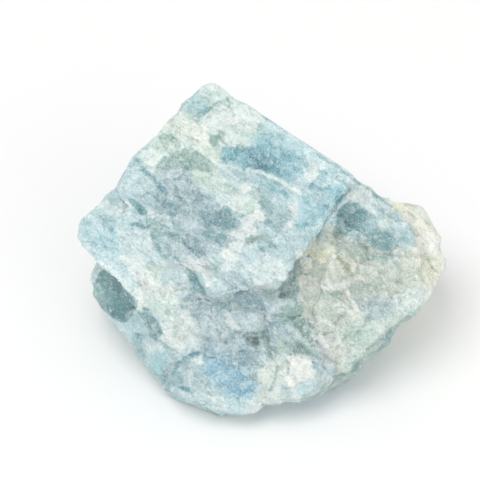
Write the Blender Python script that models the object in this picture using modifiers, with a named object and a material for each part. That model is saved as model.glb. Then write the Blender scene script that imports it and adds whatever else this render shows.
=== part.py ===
"""Rough aquamarine: one broken lump of massive blue-green beryl, grown as a single piece.

The lump is laid out face up in millimetres: u runs across its broad broken face, v runs up
that face and d stands off it. Convex blocks, each a cube trimmed by named planes, give its
main masses, and they are fused, remeshed evenly and chipped like a real fracture. The lump is
then leaned back and cut flat where it rests. Metres and +Z up outside the layout.
"""

import math

import bmesh
import bpy
from mathutils import Matrix, Vector, noise

MM = 0.001
NAME = "aquamarine_crystal"

# Driving dimensions, in millimetres and degrees.
FACE_LOOKS_UP = 50.0        # the broad face looks up at this angle above the floor
REST_BELOW_MIDDLE = 17.2    # the flat break it rests on lies this far below the layout's origin
SEED_CUBE = 120.0           # larger than the lump, trimmed down to each block
REMESH_VOXEL = 0.55
WORN_EDGE_PASSES = 3        # smoothing passes that round the tumbled edges
TRIANGLES = 8600            # aimed at before the flat break is cut

COLOUR = (0.44, 0.63, 0.66, 1.0)
ROUGHNESS = 0.42

# Relief of the broken surface.
NOISE_SHIFTS = [(0.0, 0.0, 0.0), (17.3, 4.1, 9.7), (5.9, 31.7, 2.3)]
SWELL_HEIGHT = 0.45
SWELL_SPACING = 8.0
WOBBLE = 0.9                # how far chip borders and ledges wander
WOBBLE_SPACING = 2.86
# Sets of flat chips: their width, their steepest tilt, and a shift that tells the sets apart.
CHIP_SETS = [
    (8.5, 0.26, (0.0, 0.0, 0.0)),
    (4.2, 0.30, (31.0, 7.0, 3.0)),
    (2.1, 0.26, (5.0, 43.0, 9.0)),
]
SMOOTH_FACE_RELIEF = 0.15   # share of the relief left on the smooth faces
LEDGE_SLOPE_WIDTH = 0.45    # a ledge climbs over this distance either side of its line

# A block is a list of planes: the direction its face looks, then a point on it, as (u, v, d).
PRISM_FACE = ((0.559, 0.829, 0.0), (2.7, 17.3, 0.0))
PRISM_END = ((0.823, 0.568, 0.0), (19.4, 5.0, 0.0))
HOLLOW_FLOOR = ((0.50, 0.40, -0.75), (-20.5, -6.3, -0.7))

# The body of the lump, below every other block.
CORE = [
    ((-0.10, 0.30, 1.0), (0.0, 0.0, 2.4)),          # under the slab
    ((0.02, -0.22, 1.0), (0.0, -8.0, 3.4)),         # middle of the lower face
    ((-1.20, -0.89, 1.0), (-18.2, -7.2, 3.7)),      # lower face, falling to the left
    ((0.26, -0.05, 1.0), (10.0, 0.0, 2.0)),         # lower face, falling to the right
    ((0.0, -0.80, 1.0), (-3.0, -20.5, 0.6)),        # toe of the lower face
    ((-0.806, -0.592, 0.0), (-20.3, -11.7, -3.0)),
    ((-0.667, -0.745, 0.0), (-14.0, -19.3, -2.0)),
    ((-1.0, -0.10, 0.0), (-22.9, -2.0, -4.0)),
    ((-0.35, -1.0, -0.10), (-8.6, -22.5, -1.0)),
    ((0.06, -1.0, -0.10), (-4.0, -23.2, -1.0)),
    ((0.25, -0.97, 0.0), (1.0, -22.4, -1.0)),
    ((0.383, -0.924, -0.12), (8.2, -20.4, -1.0)),
    ((0.58, -0.81, -0.06), (13.0, -17.2, -3.0)),
    ((0.733, -0.680, -0.10), (18.3, -12.9, -1.5)),
    ((0.60, -0.64, 0.48), (16.6, -11.6, 1.0)),      # narrow dark side along the lower right
    ((1.0, -0.25, 0.0), (23.4, -4.0, -4.0)),
    PRISM_END,
    PRISM_FACE,
    ((-0.736, 0.677, -0.10), (-15.6, 14.4, -2.0)),
    ((0.10, 0.766, -0.643), (0.0, 10.0, -21.0)),    # back
    ((-0.60, 0.50, -0.62), (-14.0, 6.0, -13.0)),    # back, left
    ((0.62, 0.30, -0.72), (15.0, 0.0, -13.0)),      # back, right
    ((0.0, -0.643, -0.766), (0.0, 0.0, -26.0)),     # below the floor cut
]

# The thick plate that stands highest, with the broad broken face on it.
SLAB = [
    ((-0.125, 0.246, 1.0), (0.0, 0.0, 5.5)),        # the broad broken face
    PRISM_FACE,
    ((-0.736, 0.677, -0.06), (-16.3, 15.2, 0.0)),
    ((-0.745, -0.667, -0.30), (-20.6, -4.9, 2.0)),  # overhangs the hollow on the left
    ((-0.95, 0.10, 0.0), (-26.3, 2.5, 0.0)),        # blunt left corner
    ((-0.12, 1.0, 0.05), (-7.9, 23.5, 0.0)),        # blunt top corner
    ((0.818, -0.575, 0.30), (7.6, 2.2, 5.8)),       # step down to the lower face
    ((0.15, -0.90, 0.62), (-2.0, -5.4, 6.2)),
    ((-0.12, -0.46, 0.88), (-12.0, -8.2, 5.0)),     # fades into the lower face on the left
    ((0.0, 0.0, -1.0), (0.0, 0.0, -11.0)),
]

# A narrow strip of the slab that broke a little lower, along its step.
STEP_STRIP = [
    ((-0.05, 0.15, 1.0), (9.5, 2.5, 4.4)),
    ((0.818, -0.575, 0.35), (9.7, 2.9, 3.8)),
    PRISM_FACE,
    ((0.0, -1.0, 0.3), (6.0, 2.6, 4.0)),
    ((-1.0, 0.0, 0.0), (4.0, 0.0, 0.0)),
    ((0.0, 0.0, -1.0), (0.0, 0.0, -4.0)),
]

# Crumbled mass that carries the slab's surface on, down to the lower left ridge.
RUBBLE_LEFT = [
    ((-0.14, -0.05, 1.0), (-13.5, -9.5, 4.5)),
    ((0.62, -0.20, 0.75), (-8.6, -9.5, 3.9)),
    ((0.05, -0.75, 0.66), (-12.0, -13.8, 3.2)),
    ((-0.70, -0.60, 0.38), (-16.4, -9.4, 3.2)),
    ((-0.98, -0.10, 0.20), (-15.6, -12.5, 2.3)),
    ((0.0, 1.0, 0.0), (0.0, -4.0, 0.0)),
    ((0.0, 0.0, -1.0), (0.0, 0.0, -2.0)),
]

# Separate mass to the right of the step, with a ledge along its left and top.
RIGHT_LUMP = [
    ((0.20, -0.12, 1.0), (10.0, -8.0, 4.4)),
    ((-0.90, -0.20, 0.55), (5.6, -5.0, 4.4)),
    ((-0.96, 0.20, 0.55), (6.8, -10.0, 4.0)),
    ((-0.10, 0.80, 0.62), (13.0, 1.2, 3.4)),
    ((0.70, -0.66, 0.40), (17.2, -12.0, 1.0)),
    ((0.95, 0.10, 0.35), (22.6, -4.0, 0.0)),
    ((-0.60, -0.80, 0.45), (11.4, -16.4, 2.6)),
    PRISM_END,
    ((0.0, 0.0, -1.0), (0.0, 0.0, -1.0)),
]

# Low mass along the bottom edge.
FOOT_LUMP = [
    ((0.06, -0.42, 1.0), (-2.0, -16.0, 4.0)),
    ((-0.10, 0.72, 0.80), (-4.0, -11.8, 3.8)),
    ((-0.86, -0.10, 0.60), (-11.8, -16.0, 1.8)),
    ((0.80, -0.10, 0.60), (8.0, -16.0, 2.2)),
    ((0.05, -1.0, 0.10), (-3.0, -22.8, 0.0)),
    ((0.30, -0.97, 0.0), (3.0, -21.6, -1.0)),
    ((-0.50, -0.80, 0.0), (-9.6, -21.6, -1.0)),
    ((0.0, 0.0, -1.0), (0.0, 0.0, -7.0)),
]

# Small lobe that closes the recess under the slab's left corner.
LOBE_LEFT = [
    ((-0.60, -0.20, 1.0), (-22.0, -6.0, -2.0)),
    ((-0.95, 0.25, 0.10), (-24.1, -3.5, -5.0)),
    ((-0.82, -0.57, 0.10), (-22.2, -9.2, -5.0)),
    ((-0.20, 0.95, 0.20), (-22.0, -2.8, -4.0)),
    ((1.0, 0.0, 0.0), (-15.0, 0.0, -5.0)),
    ((0.0, -1.0, 0.0), (0.0, -14.0, -5.0)),
    ((0.0, 0.0, -1.0), (0.0, 0.0, -12.0)),
]

# Pale feldspar that grew against the beryl, behind the prism's lower end.
FELDSPAR_KNOB = [
    ((0.30, 0.35, 1.0), (22.0, -5.0, 0.8)),
    ((0.16, 0.98, 0.0), (20.0, 6.6, -6.0)),
    ((-0.50, 0.87, 0.0), (15.0, 7.0, -6.0)),
    ((0.87, 0.50, 0.05), (24.0, 4.3, -5.0)),
    ((1.0, 0.16, 0.05), (25.7, -0.6, -5.0)),
    ((0.78, -0.62, 0.0), (25.0, -4.0, -5.0)),
    ((0.0, -1.0, 0.0), (18.0, -9.0, -5.0)),
    ((-1.0, 0.0, 0.0), (10.0, 0.0, -5.0)),
    ((0.30, 0.40, -1.0), (20.0, 0.0, -14.0)),
]

# The recess cut under the slab's overhang, with one flat cleaved floor.
HOLLOW_LEFT = [
    HOLLOW_FLOOR,
    ((0.82, -0.575, -0.25), (-18.9, -8.2, 1.0)),
    ((0.745, 0.667, -0.10), (-19.6, -4.1, 1.0)),
    ((-0.50, 0.86, 0.0), (-23.4, -4.0, 0.0)),
    ((0.0, 0.0, 1.0), (0.0, 0.0, 9.0)),
    ((-1.0, 0.0, 0.0), (-34.0, 0.0, 0.0)),
    ((0.0, -1.0, 0.0), (0.0, -20.0, 0.0)),
]

# Shell-shaped scars of chips that came away: a point on the surface, the direction the
# surface looks there, the scar's width and its depth.
SCARS = [
    ((-9.4, 20.6, -0.9), (-0.1, 0.2, 1.0), 5.4, 0.8),       # by the top corner
    ((-1.6, 12.6, 2.2), (-0.1, 0.25, 1.0), 8.0, 0.7),       # blue hollow, left half
    ((3.6, 11.4, 3.1), (-0.1, 0.25, 1.0), 7.0, 0.6),        # blue hollow, right half
    ((-6.6, 3.4, 3.8), (-0.1, 0.2, 1.0), 6.4, 0.5),
    ((-14.4, 6.6, 2.1), (-0.3, 0.2, 1.0), 6.0, 0.5),
    ((3.2, -6.0, 4.2), (0.2, -0.3, 1.0), 3.4, 1.3),         # pit under the slab's low corner
    ((1.2, -9.8, 3.1), (0.0, -0.3, 1.0), 8.0, 0.9),
    ((-7.0, -9.6, 3.3), (0.0, -0.4, 1.0), 7.0, 0.6),
    ((-1.2, -12.3, 2.3), (0.2, -0.3, 1.0), 2.6, 0.6),
    ((14.5, 3.6, 2.0), (0.3, 0.1, 1.0), 6.0, 0.5),
    ((-21.3, 9.5, 0.0), (-0.736, 0.677, -0.06), 4.4, 0.6),  # nick in the upper left edge
    ((-14.0, 17.4, -6.0), (-0.736, 0.677, -0.06), 9.0, 0.9),
    ((-19.6, -12.6, -10.0), (-0.806, -0.592, 0.0), 10.0, 1.1),
    ((18.8, -11.8, -8.0), (0.733, -0.680, -0.10), 9.0, 1.0),
    ((14.0, -17.0, -7.8), (0.60, -0.75, -0.10), 7.0, 1.1),
    ((15.0, 0.0, -13.0), (0.62, 0.30, -0.72), 10.0, 1.2),
    ((-5.0, 9.0, -22.9), (0.10, 0.766, -0.643), 13.0, 1.6),
    ((7.0, 5.0, -17.8), (0.62, 0.30, -0.72), 9.0, 1.2),
    ((-16.0, 2.0, -14.3), (-0.60, 0.50, -0.62), 10.0, 1.3),
]

# Ledges on the broad side: points (u, v) along each, the height of its left-hand side above
# its right-hand side, and how far from the line the step fades out.
LEDGES = [
    ([(7.0, 19.0), (2.0, 15.4), (-3.0, 16.2), (-7.5, 13.2)], 0.5, 2.6),
    ([(9.6, 5.4), (4.6, 9.0), (-0.6, 11.6), (-5.4, 12.4)], 0.7, 2.8),
    ([(-10.5, 20.6), (-8.2, 18.9), (-4.6, 19.9), (-2.4, 21.4)], -0.7, 1.8),
    ([(-21.6, 7.6), (-17.6, 6.2), (-15.4, 2.6), (-11.6, 1.8), (-9.4, -2.8)], 0.55, 2.4),
    ([(-13.2, -2.4), (-9.6, -2.6), (-7.6, -6.2), (-4.0, -7.6)], 0.9, 3.0),
    ([(-14.8, -18.4), (-12.6, -16.7), (-11.2, -15.5), (-9.2, -14.7), (-7.4, -15.2)], 0.8, 2.2),
    ([(-9.8, -12.4), (-6.0, -12.9), (-3.4, -11.6), (-0.6, -12.8)], 0.6, 2.0),
    ([(1.2, -11.4), (2.4, -14.6), (2.0, -17.5), (1.3, -19.5)], 0.8, 2.4),
    ([(4.6, -1.8), (6.8, -4.5), (8.3, -5.4), (11.7, -5.5)], 0.6, 2.2),
    ([(11.4, 2.6), (15.4, 1.0), (20.4, -0.2)], 0.6, 2.4),
]


def towards(direction):
    return Vector(direction).normalized()


def block(name, planes):
    """A cube trimmed by planes: what is left is a convex block."""
    bm = bmesh.new()
    bmesh.ops.create_cube(bm, size=SEED_CUBE)
    for direction, point in planes:
        bmesh.ops.bisect_plane(bm, geom=bm.verts[:] + bm.edges[:] + bm.faces[:],
                               plane_co=Vector(point), plane_no=towards(direction),
                               clear_outer=True)
        rim = [edge for edge in bm.edges if edge.is_boundary]
        bmesh.ops.holes_fill(bm, edges=rim)
    bmesh.ops.recalc_face_normals(bm, faces=bm.faces[:])
    return as_object(name, bm)


def scar(point, direction, width, depth):
    """The ball that leaves a scar of this width and depth when it is cut away."""
    radius = (width * width / 4 + depth * depth) / (2 * depth)
    centre = Vector(point) + towards(direction) * (radius - depth)
    bm = bmesh.new()
    bmesh.ops.create_icosphere(bm, subdivisions=4, radius=radius,
                               matrix=Matrix.Translation(centre))
    return as_object("scar", bm)


def as_object(name, bm):
    mesh = bpy.data.meshes.new(name)
    bm.to_mesh(mesh)
    bm.free()
    piece = bpy.data.objects.new(name, mesh)
    bpy.context.scene.collection.objects.link(piece)
    return piece


def combine(target, tool, operation):
    """Joins tool to target, or cuts it away, and removes the tool."""
    cut = target.modifiers.new(tool.name, "BOOLEAN")
    cut.operation = operation
    cut.solver = "MANIFOLD"
    cut.object = tool
    apply_modifiers(target)
    bpy.data.objects.remove(tool)


def apply_modifiers(piece):
    graph = bpy.context.evaluated_depsgraph_get()
    finished = bpy.data.meshes.new_from_object(piece.evaluated_get(graph))
    piece.modifiers.clear()
    piece.data = finished


def fused_masses():
    """The main masses as one closed surface of even small faces."""
    lump = block(NAME, CORE)
    combine(lump, block("lobe_left", LOBE_LEFT), "UNION")
    combine(lump, block("hollow_left", HOLLOW_LEFT), "DIFFERENCE")
    for name, planes in (("slab", SLAB), ("step_strip", STEP_STRIP),
                         ("rubble_left", RUBBLE_LEFT), ("right_lump", RIGHT_LUMP),
                         ("foot_lump", FOOT_LUMP), ("feldspar_knob", FELDSPAR_KNOB)):
        combine(lump, block(name, planes), "UNION")
    for point, direction, width, depth in SCARS:
        combine(lump, scar(point, direction, width, depth), "DIFFERENCE")
    even = lump.modifiers.new("even_faces", "REMESH")
    even.mode = "VOXEL"
    even.voxel_size = REMESH_VOXEL
    worn = lump.modifiers.new("worn_edges", "SMOOTH")
    worn.factor = 0.5
    worn.iterations = WORN_EDGE_PASSES
    apply_modifiers(lump)
    return lump


def noise_vector(point):
    """Three unrelated noise values at a point, the same on every run."""
    return Vector([noise.noise(point + Vector(shift)) for shift in NOISE_SHIFTS])


def chips(point, cell, tilt):
    """Flat chips about one cell wide, each tilted its own way, with steps between them."""
    distances, centres = noise.voronoi(point / cell)
    from_centre = point - centres[0] * cell
    slope = noise_vector(centres[0] * 7.31) * tilt
    border = min(1.0, (distances[1] - distances[0]) * 4.0)
    return from_centre.dot(slope) * border


def ledge_height(u, v, line, height, reach):
    """Half the step on the line's left side, minus half on its right, fading with distance."""
    here = Vector((u, v))
    best, side = reach * 3, 0.0
    for start, end in zip(line[:-1], line[1:]):
        start, along = Vector(start), Vector(end) - Vector(start)
        share = max(0.0, min(1.0, (here - start).dot(along) / along.length_squared))
        gap = here - (start + along * share)
        if gap.length < best:
            best = gap.length
            side = 1.0 if along.cross(gap) > 0 else -1.0
    step = side * min(1.0, best / LEDGE_SLOPE_WIDTH)
    return 0.5 * height * step * math.exp(-(best / reach) ** 2)


def smooth_share(normal):
    """1 on the crystal's own faces and on the cleaved floor, 0 on broken surfaces."""
    aligned = max(normal.dot(towards(PRISM_FACE[0])), normal.dot(towards(PRISM_END[0])),
                  -normal.dot(towards(HOLLOW_FLOOR[0])))
    return max(0.0, min(1.0, (aligned - 0.93) / 0.05))


def relief(point, normal):
    """How far the fracture surface stands above or below the even mass, in millimetres."""
    waved = point + noise_vector(point / WOBBLE_SPACING) * WOBBLE
    height = SWELL_HEIGHT * noise.noise(point / SWELL_SPACING)
    for width, tilt, shift in CHIP_SETS:
        height += chips(waved + Vector(shift), width, tilt)
    height *= 1.0 - (1.0 - SMOOTH_FACE_RELIEF) * smooth_share(normal)
    facing = max(0.0, min(1.0, (normal.z - 0.15) / 0.35))
    if facing > 0.0:
        for line, step, reach in LEDGES:
            height += facing * ledge_height(waved.x, waved.y, line, step, reach)
    return height


def chip_surface(lump):
    mesh = lump.data
    normals = [vertex.normal.copy() for vertex in mesh.vertices]
    places = [vertex.co.copy() for vertex in mesh.vertices]
    for vertex, place, normal in zip(mesh.vertices, places, normals):
        vertex.co = place + normal * relief(place, normal)
    mesh.update()


def thin_out(lump):
    """Fewer, larger triangles where the surface is flat, down to the triangle count."""
    lump.data.calc_loop_triangles()
    thin = lump.modifiers.new("thin_out", "DECIMATE")
    thin.ratio = TRIANGLES / len(lump.data.loop_triangles)
    thin.use_collapse_triangulate = True
    apply_modifiers(lump)


def lean_back_and_rest(lump):
    """Leans the layout back, cuts the flat break and puts the origin below the middle."""
    lean = Matrix.Rotation(math.radians(90.0 - FACE_LOOKS_UP), 4, "X")
    bm = bmesh.new()
    bm.from_mesh(lump.data)
    bmesh.ops.transform(bm, matrix=lean, verts=bm.verts[:])
    floor = Vector((0.0, 0.0, -REST_BELOW_MIDDLE))
    bmesh.ops.bisect_plane(bm, geom=bm.verts[:] + bm.edges[:] + bm.faces[:],
                           plane_co=floor, plane_no=(0.0, 0.0, -1.0), clear_outer=True)
    rim = [edge for edge in bm.edges if edge.is_boundary]
    bmesh.ops.contextual_create(bm, geom=rim)
    bmesh.ops.triangulate(bm, faces=bm.faces[:])
    low = [min(vertex.co[axis] for vertex in bm.verts) for axis in range(3)]
    high = [max(vertex.co[axis] for vertex in bm.verts) for axis in range(3)]
    middle = Vector(((low[0] + high[0]) / 2, (low[1] + high[1]) / 2, low[2]))
    bmesh.ops.translate(bm, vec=-middle, verts=bm.verts[:])
    bmesh.ops.scale(bm, vec=(MM, MM, MM), verts=bm.verts[:])
    bm.to_mesh(lump.data)
    bm.free()
    print("layout origin in the finished frame, mm:", [round(-x, 3) for x in middle])


def beryl():
    material = bpy.data.materials.new("aquamarine")
    material.use_nodes = True
    shader = material.node_tree.nodes["Principled BSDF"]
    shader.inputs["Base Color"].default_value = COLOUR
    shader.inputs["Roughness"].default_value = ROUGHNESS
    shader.inputs["Metallic"].default_value = 0.0
    return material


def main():
    for old in list(bpy.data.objects):
        bpy.data.objects.remove(old)
    lump = fused_masses()
    chip_surface(lump)
    thin_out(lump)
    lean_back_and_rest(lump)
    lump.data.materials.clear()
    lump.data.materials.append(beryl())
    specimen = bpy.data.collections.new("rough_aquamarine")
    bpy.context.scene.collection.children.link(specimen)
    bpy.context.scene.collection.objects.unlink(lump)
    specimen.objects.link(lump)


main()
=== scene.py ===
"""Looks of the rough aquamarine: its broken surface, its colours and a plain pale studio."""

import math

import bmesh
import bpy
import numpy as np
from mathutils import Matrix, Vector, noise


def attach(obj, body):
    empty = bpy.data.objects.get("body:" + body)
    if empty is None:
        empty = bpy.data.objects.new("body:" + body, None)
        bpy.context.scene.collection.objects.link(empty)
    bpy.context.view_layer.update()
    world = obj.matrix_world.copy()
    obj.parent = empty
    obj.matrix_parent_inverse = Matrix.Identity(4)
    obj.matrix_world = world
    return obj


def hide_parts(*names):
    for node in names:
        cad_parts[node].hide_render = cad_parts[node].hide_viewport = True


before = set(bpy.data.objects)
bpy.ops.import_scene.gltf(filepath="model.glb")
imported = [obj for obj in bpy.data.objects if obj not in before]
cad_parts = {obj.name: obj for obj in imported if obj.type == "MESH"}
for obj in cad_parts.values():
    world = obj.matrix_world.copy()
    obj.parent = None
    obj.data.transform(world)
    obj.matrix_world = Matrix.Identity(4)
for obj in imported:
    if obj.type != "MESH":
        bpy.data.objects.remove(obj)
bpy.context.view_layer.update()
scene = bpy.context.scene

MM = 0.001
NODE = "aquamarine_crystal"
PIECE = "aquamarine_lump"

# ---------------------------------------------------------------- camera of the photograph
FACE_LOOKS_UP = math.radians(50.0)      # the broad broken face looks up at this angle
LAYOUT_ORIGIN = Vector((-0.039, -3.190, 17.2)) * MM     # where part.py's layout has its zero
PHOTO_PIXEL = 52.0 / 368.0 * MM         # one pixel of the photograph at the stone
PHOTO_SIZE = 480
PHOTO_ORIGIN = (263.0, 250.0)           # the pixel that shows the layout's zero
CAMERA_DISTANCE = 0.42
NEAREST_SEEN = 0.01
SENSOR = 36.0
RIGHT = Vector((1.0, 0.0, 0.0))
UP = Vector((0.0, math.sin(FACE_LOOKS_UP), math.cos(FACE_LOOKS_UP)))
TOWARDS = Vector((0.0, -math.cos(FACE_LOOKS_UP), math.sin(FACE_LOOKS_UP)))
TARGET = (LAYOUT_ORIGIN + RIGHT * (PHOTO_SIZE / 2 - PHOTO_ORIGIN[0]) * PHOTO_PIXEL
          + UP * (PHOTO_ORIGIN[1] - PHOTO_SIZE / 2) * PHOTO_PIXEL)
CAMERA_PLACE = TARGET + TOWARDS * CAMERA_DISTANCE
FOCAL_PIXELS = CAMERA_DISTANCE / PHOTO_PIXEL


def make_camera():
    camera = bpy.data.objects.new("camera", bpy.data.cameras.new("camera"))
    camera.data.sensor_width = SENSOR
    camera.data.lens = SENSOR * FOCAL_PIXELS / PHOTO_SIZE
    camera.data.clip_start = NEAREST_SEEN
    camera.location = CAMERA_PLACE
    camera.rotation_mode = "QUATERNION"
    camera.rotation_quaternion = (-TOWARDS).to_track_quat("-Z", "Y")
    scene.collection.objects.link(camera)
    scene.camera = camera


def photo_pixels(points):
    """The pixel of the photograph that shows each point (an N x 3 array in millimetres)."""
    seen = points * MM - np.array(CAMERA_PLACE)
    depth = -seen @ np.array(TOWARDS)
    x = PHOTO_SIZE / 2 + seen @ np.array(RIGHT) / depth * FOCAL_PIXELS
    y = PHOTO_SIZE / 2 - seen @ np.array(UP) / depth * FOCAL_PIXELS
    return np.stack([x, y], axis=1)


# ---------------------------------------------------------------- helpers over many points
CHIP_SALTS = [(17.3, 29.1, 13.7), (7.9, 3.3, 41.1), (23.7, 11.9, 5.3)]
BEND_SHIFTS = [np.array((0.0, 0.0, 0.0)), np.array((37.0, 5.0, 11.0)), np.array((3.0, 61.0, 29.0))]
GRAIN_WAY = np.array(RIGHT * 0.77 - UP * 0.64)  # the broken surface runs in streaks this way
GRAIN_STRETCH = 2.0


def smoothstep(low, high, values):
    share = np.clip((values - low) / (high - low), 0.0, 1.0)
    return share * share * (3.0 - 2.0 * share)


def facing_share(normals, low, high):
    """0 where the surface looks away from the camera, 1 where it looks at it."""
    return smoothstep(low, high, normals @ np.array(TOWARDS))


def grain(points, size, shift):
    """Smooth noise of -1 to 1 at each point; its lumps are about size millimetres across."""
    return np.array([noise.noise(place) for place in points / size + shift])


def grain_columns(points, size, shifts):
    """Smooth noise at each point, with a column for each shift."""
    return np.stack([grain(points, size, shift) for shift in shifts], axis=1)


def bent_places(points, bends):
    """The points pushed about by smooth noise; a bend is how far, and the size of its lumps."""
    bent = points.copy()
    for reach, size in bends:
        bent += reach * grain_columns(points, size, BEND_SHIFTS)
    return bent


def streaked(points, stretch=GRAIN_STRETCH):
    """The points squeezed along the grain, so that what is laid over them comes out longer."""
    along = points @ GRAIN_WAY
    return points - ((1.0 - 1.0 / stretch) * along)[:, None] * GRAIN_WAY


def cells(points, size, shift):
    """The middle of the random cell that each point lies in; cells are about size across."""
    places = points / size + shift
    middles = np.array([noise.voronoi(place)[1][0] for place in places])
    return (middles - shift) * size, middles


def cell_chance(middles, salt):
    """A random share of 0 to 1 that is the same all over a cell; each salt gives another."""
    return np.modf(np.abs(middles @ np.array(salt)))[0]


def segment_gap(pixels, start, end):
    """Distance in pixels from each place to a straight line from start to end."""
    run = np.array(end, dtype=float) - start
    offset = pixels - start
    along = np.clip(offset @ run / (run @ run), 0.0, 1.0)
    return np.hypot(*(offset - along[:, None] * run).T)


def line_distance(pixels, corners):
    gaps = [segment_gap(pixels, start, end) for start, end in zip(corners, corners[1:])]
    return np.min(gaps, axis=0)


def outline_distance(pixels, corners):
    """Distance in pixels to the border of a patch, more than 0 inside it."""
    inside = np.zeros(len(pixels), dtype=bool)
    x, y = pixels[:, 0], pixels[:, 1]
    for (x0, y0), (x1, y1) in zip(corners, corners[1:] + corners[:1]):
        if y0 != y1:
            crossing = x0 + (y - y0) / (y1 - y0) * (x1 - x0)
            inside ^= ((y0 > y) != (y1 > y)) & (x < crossing)
    nearest = line_distance(pixels, corners + corners[:1])
    return np.where(inside, nearest, -nearest)


def patch_width(corners):
    """The side of a square as large as the patch, in pixels."""
    turns = zip(corners, corners[1:] + corners[:1])
    return math.sqrt(abs(sum(x0 * y1 - x1 * y0 for (x0, y0), (x1, y1) in turns)) / 2.0)


def vertex_points(mesh):
    points = np.empty(len(mesh.vertices) * 3)
    mesh.vertices.foreach_get("co", points)
    return points.reshape(-1, 3)


def vertex_normals(mesh):
    normals = np.empty(len(mesh.vertices) * 3)
    mesh.vertex_normals.foreach_get("vector", normals)
    return normals.reshape(-1, 3)


def move_vertices(mesh, points):
    mesh.vertices.foreach_set("co", points.ravel())
    mesh.update()


# ---------------------------------------------------------------- shape
FINE_VOXEL = 0.23           # millimetres
MERGE_GAP = 0.001           # millimetres; points of the solid nearer than this are one point
SOFTEN_PASSES = 3           # rounds the solid's triangles before the fine relief goes on
SOFTEN_FACTOR = 0.5
CRISP_ANGLE = math.radians(38.0)        # creases sharper than this are shaded as edges
TRIANGLES = 198000
BACK_SHARE = 0.5            # how much of the mesh's fineness the back keeps, beside the front
KEEP_FRONT = (-0.15, 0.15)  # how far a surface looks at the camera, to be kept fine
KEEP_BELOW = (-0.7, -0.9)   # how far it looks down, to be thinned the most
KEEP_STEPS = 8
KEEP_FORCE = 0.05
CRYSTAL_FACES = [RIGHT * 0.559 + UP * 0.829, RIGHT * 0.823 + UP * 0.568]
CLEAVED_FLOOR = (RIGHT * -0.69 + UP * -0.18 + TOWARDS * 0.71).normalized()
FLOOR_MOVE = 0.35           # millimetres that flattening may move the floor
FLOOR_EDGE = 6.0            # pixels from its border to where the floor is quite flat
RECESS = [(97, 268), (107, 268), (116, 276), (126, 288), (136, 299), (134, 310), (127, 321),
          (112, 318), (98, 304), (90, 290)]         # the cleaved floor's corners in pixels

# Small corrections to the outline: a pixel of the photograph, how far what is seen there moves
# right and down, and how far around it the move reaches (all in pixels).
PULLS = [
    ((92, 205), (5, 4), 36),
    ((92, 268), (2, -1), 9),
    ((86, 288), (6, -1), 11),
    ((115, 289), (5, -4), 24),
    ((131, 302), (3, 1), 14),
    ((112, 326), (2, -2), 9),
    ((138, 358), (-2, 2), 12),
    ((160, 384), (-1, 1), 10),
    ((212, 415), (1, -2), 10),
    ((268, 410), (0, -5), 16),
    ((288, 406), (0, -3), 14),
    ((348, 380), (-2, -2), 14),
    ((390, 341), (2, 2), 14),
    ((411, 316), (2, 2), 14),
    ((446, 248), (-5, 0), 12),
    ((412, 201), (-1, 2), 16),
    ((362, 180), (-1, 2), 16),
    ((380, 193), (-1, 2), 12),
    ((236, 95), (-1, 2), 16),
    ((186, 100), (-1, -1), 20),
    ((134, 157), (-3, -2), 20),
]



def pull_into_place(points):
    """The points with the small corrections to the outline made."""
    pixels = photo_pixels(points)
    moved = points.copy()
    for place, (right, down), radius in PULLS:
        gap = np.hypot(*(pixels - place).T) / radius
        share = np.clip(1.0 - gap ** 2, 0.0, None) ** 2
        shift = (RIGHT * right - UP * down) * PHOTO_PIXEL / MM
        moved += share[:, None] * np.array(shift)
    return moved


def flatten_floor(points, normals):
    """The points with those on the cleaved floor moved, along the view, into one plane."""
    facing = facing_share(normals, 0.0, 0.3)
    share = facing * smoothstep(0.0, FLOOR_EDGE, outline_distance(photo_pixels(points), RECESS))
    middle = np.average(points, axis=0, weights=share)
    drop = (middle - points) @ np.array(CLEAVED_FLOOR) / CLEAVED_FLOOR.dot(TOWARDS)
    drop = np.clip(drop, -FLOOR_MOVE, FLOOR_MOVE)
    return points + (share * drop)[:, None] * np.array(TOWARDS)


def apply_modifiers(piece):
    graph = bpy.context.evaluated_depsgraph_get()
    finished = bpy.data.meshes.new_from_object(piece.evaluated_get(graph))
    piece.modifiers.clear()
    piece.data = finished


def fine_copy():
    """A finely meshed copy of the CAD lump, in millimetres while it is worked on."""
    bm = bmesh.new()
    bm.from_mesh(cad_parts[NODE].data)
    bmesh.ops.scale(bm, vec=(1 / MM, 1 / MM, 1 / MM), verts=bm.verts[:])
    bmesh.ops.remove_doubles(bm, verts=bm.verts[:], dist=MERGE_GAP)
    mesh = bpy.data.meshes.new(PIECE)
    bm.to_mesh(mesh)
    bm.free()
    lump = bpy.data.objects.new(PIECE, mesh)
    scene.collection.objects.link(lump)
    even = lump.modifiers.new("even", "REMESH")
    even.mode = "VOXEL"
    even.voxel_size = FINE_VOXEL
    soft = lump.modifiers.new("soft", "SMOOTH")
    soft.factor = SOFTEN_FACTOR
    soft.iterations = SOFTEN_PASSES
    apply_modifiers(lump)
    return lump


def keep_weights(lump):
    """Where the thinning leaves the mesh fine: all of it in front, none of it underneath."""
    normals = vertex_normals(lump.data)
    below = smoothstep(*KEEP_BELOW, normals[:, 2])
    share = np.maximum(facing_share(normals, *KEEP_FRONT), BACK_SHARE) * (1.0 - below)
    group = lump.vertex_groups.new(name="keep")
    steps = np.round(share * KEEP_STEPS).astype(int)
    for step in range(KEEP_STEPS + 1):
        group.add(np.nonzero(steps == step)[0].tolist(), step / KEEP_STEPS, "REPLACE")


def thin_out(lump):
    keep_weights(lump)
    thin = lump.modifiers.new("thin", "DECIMATE")
    thin.ratio = TRIANGLES / (2 * len(lump.data.polygons))
    thin.vertex_group = "keep"
    thin.invert_vertex_group = True
    thin.vertex_group_factor = KEEP_FORCE
    apply_modifiers(lump)
    lump.vertex_groups.clear()


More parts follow.
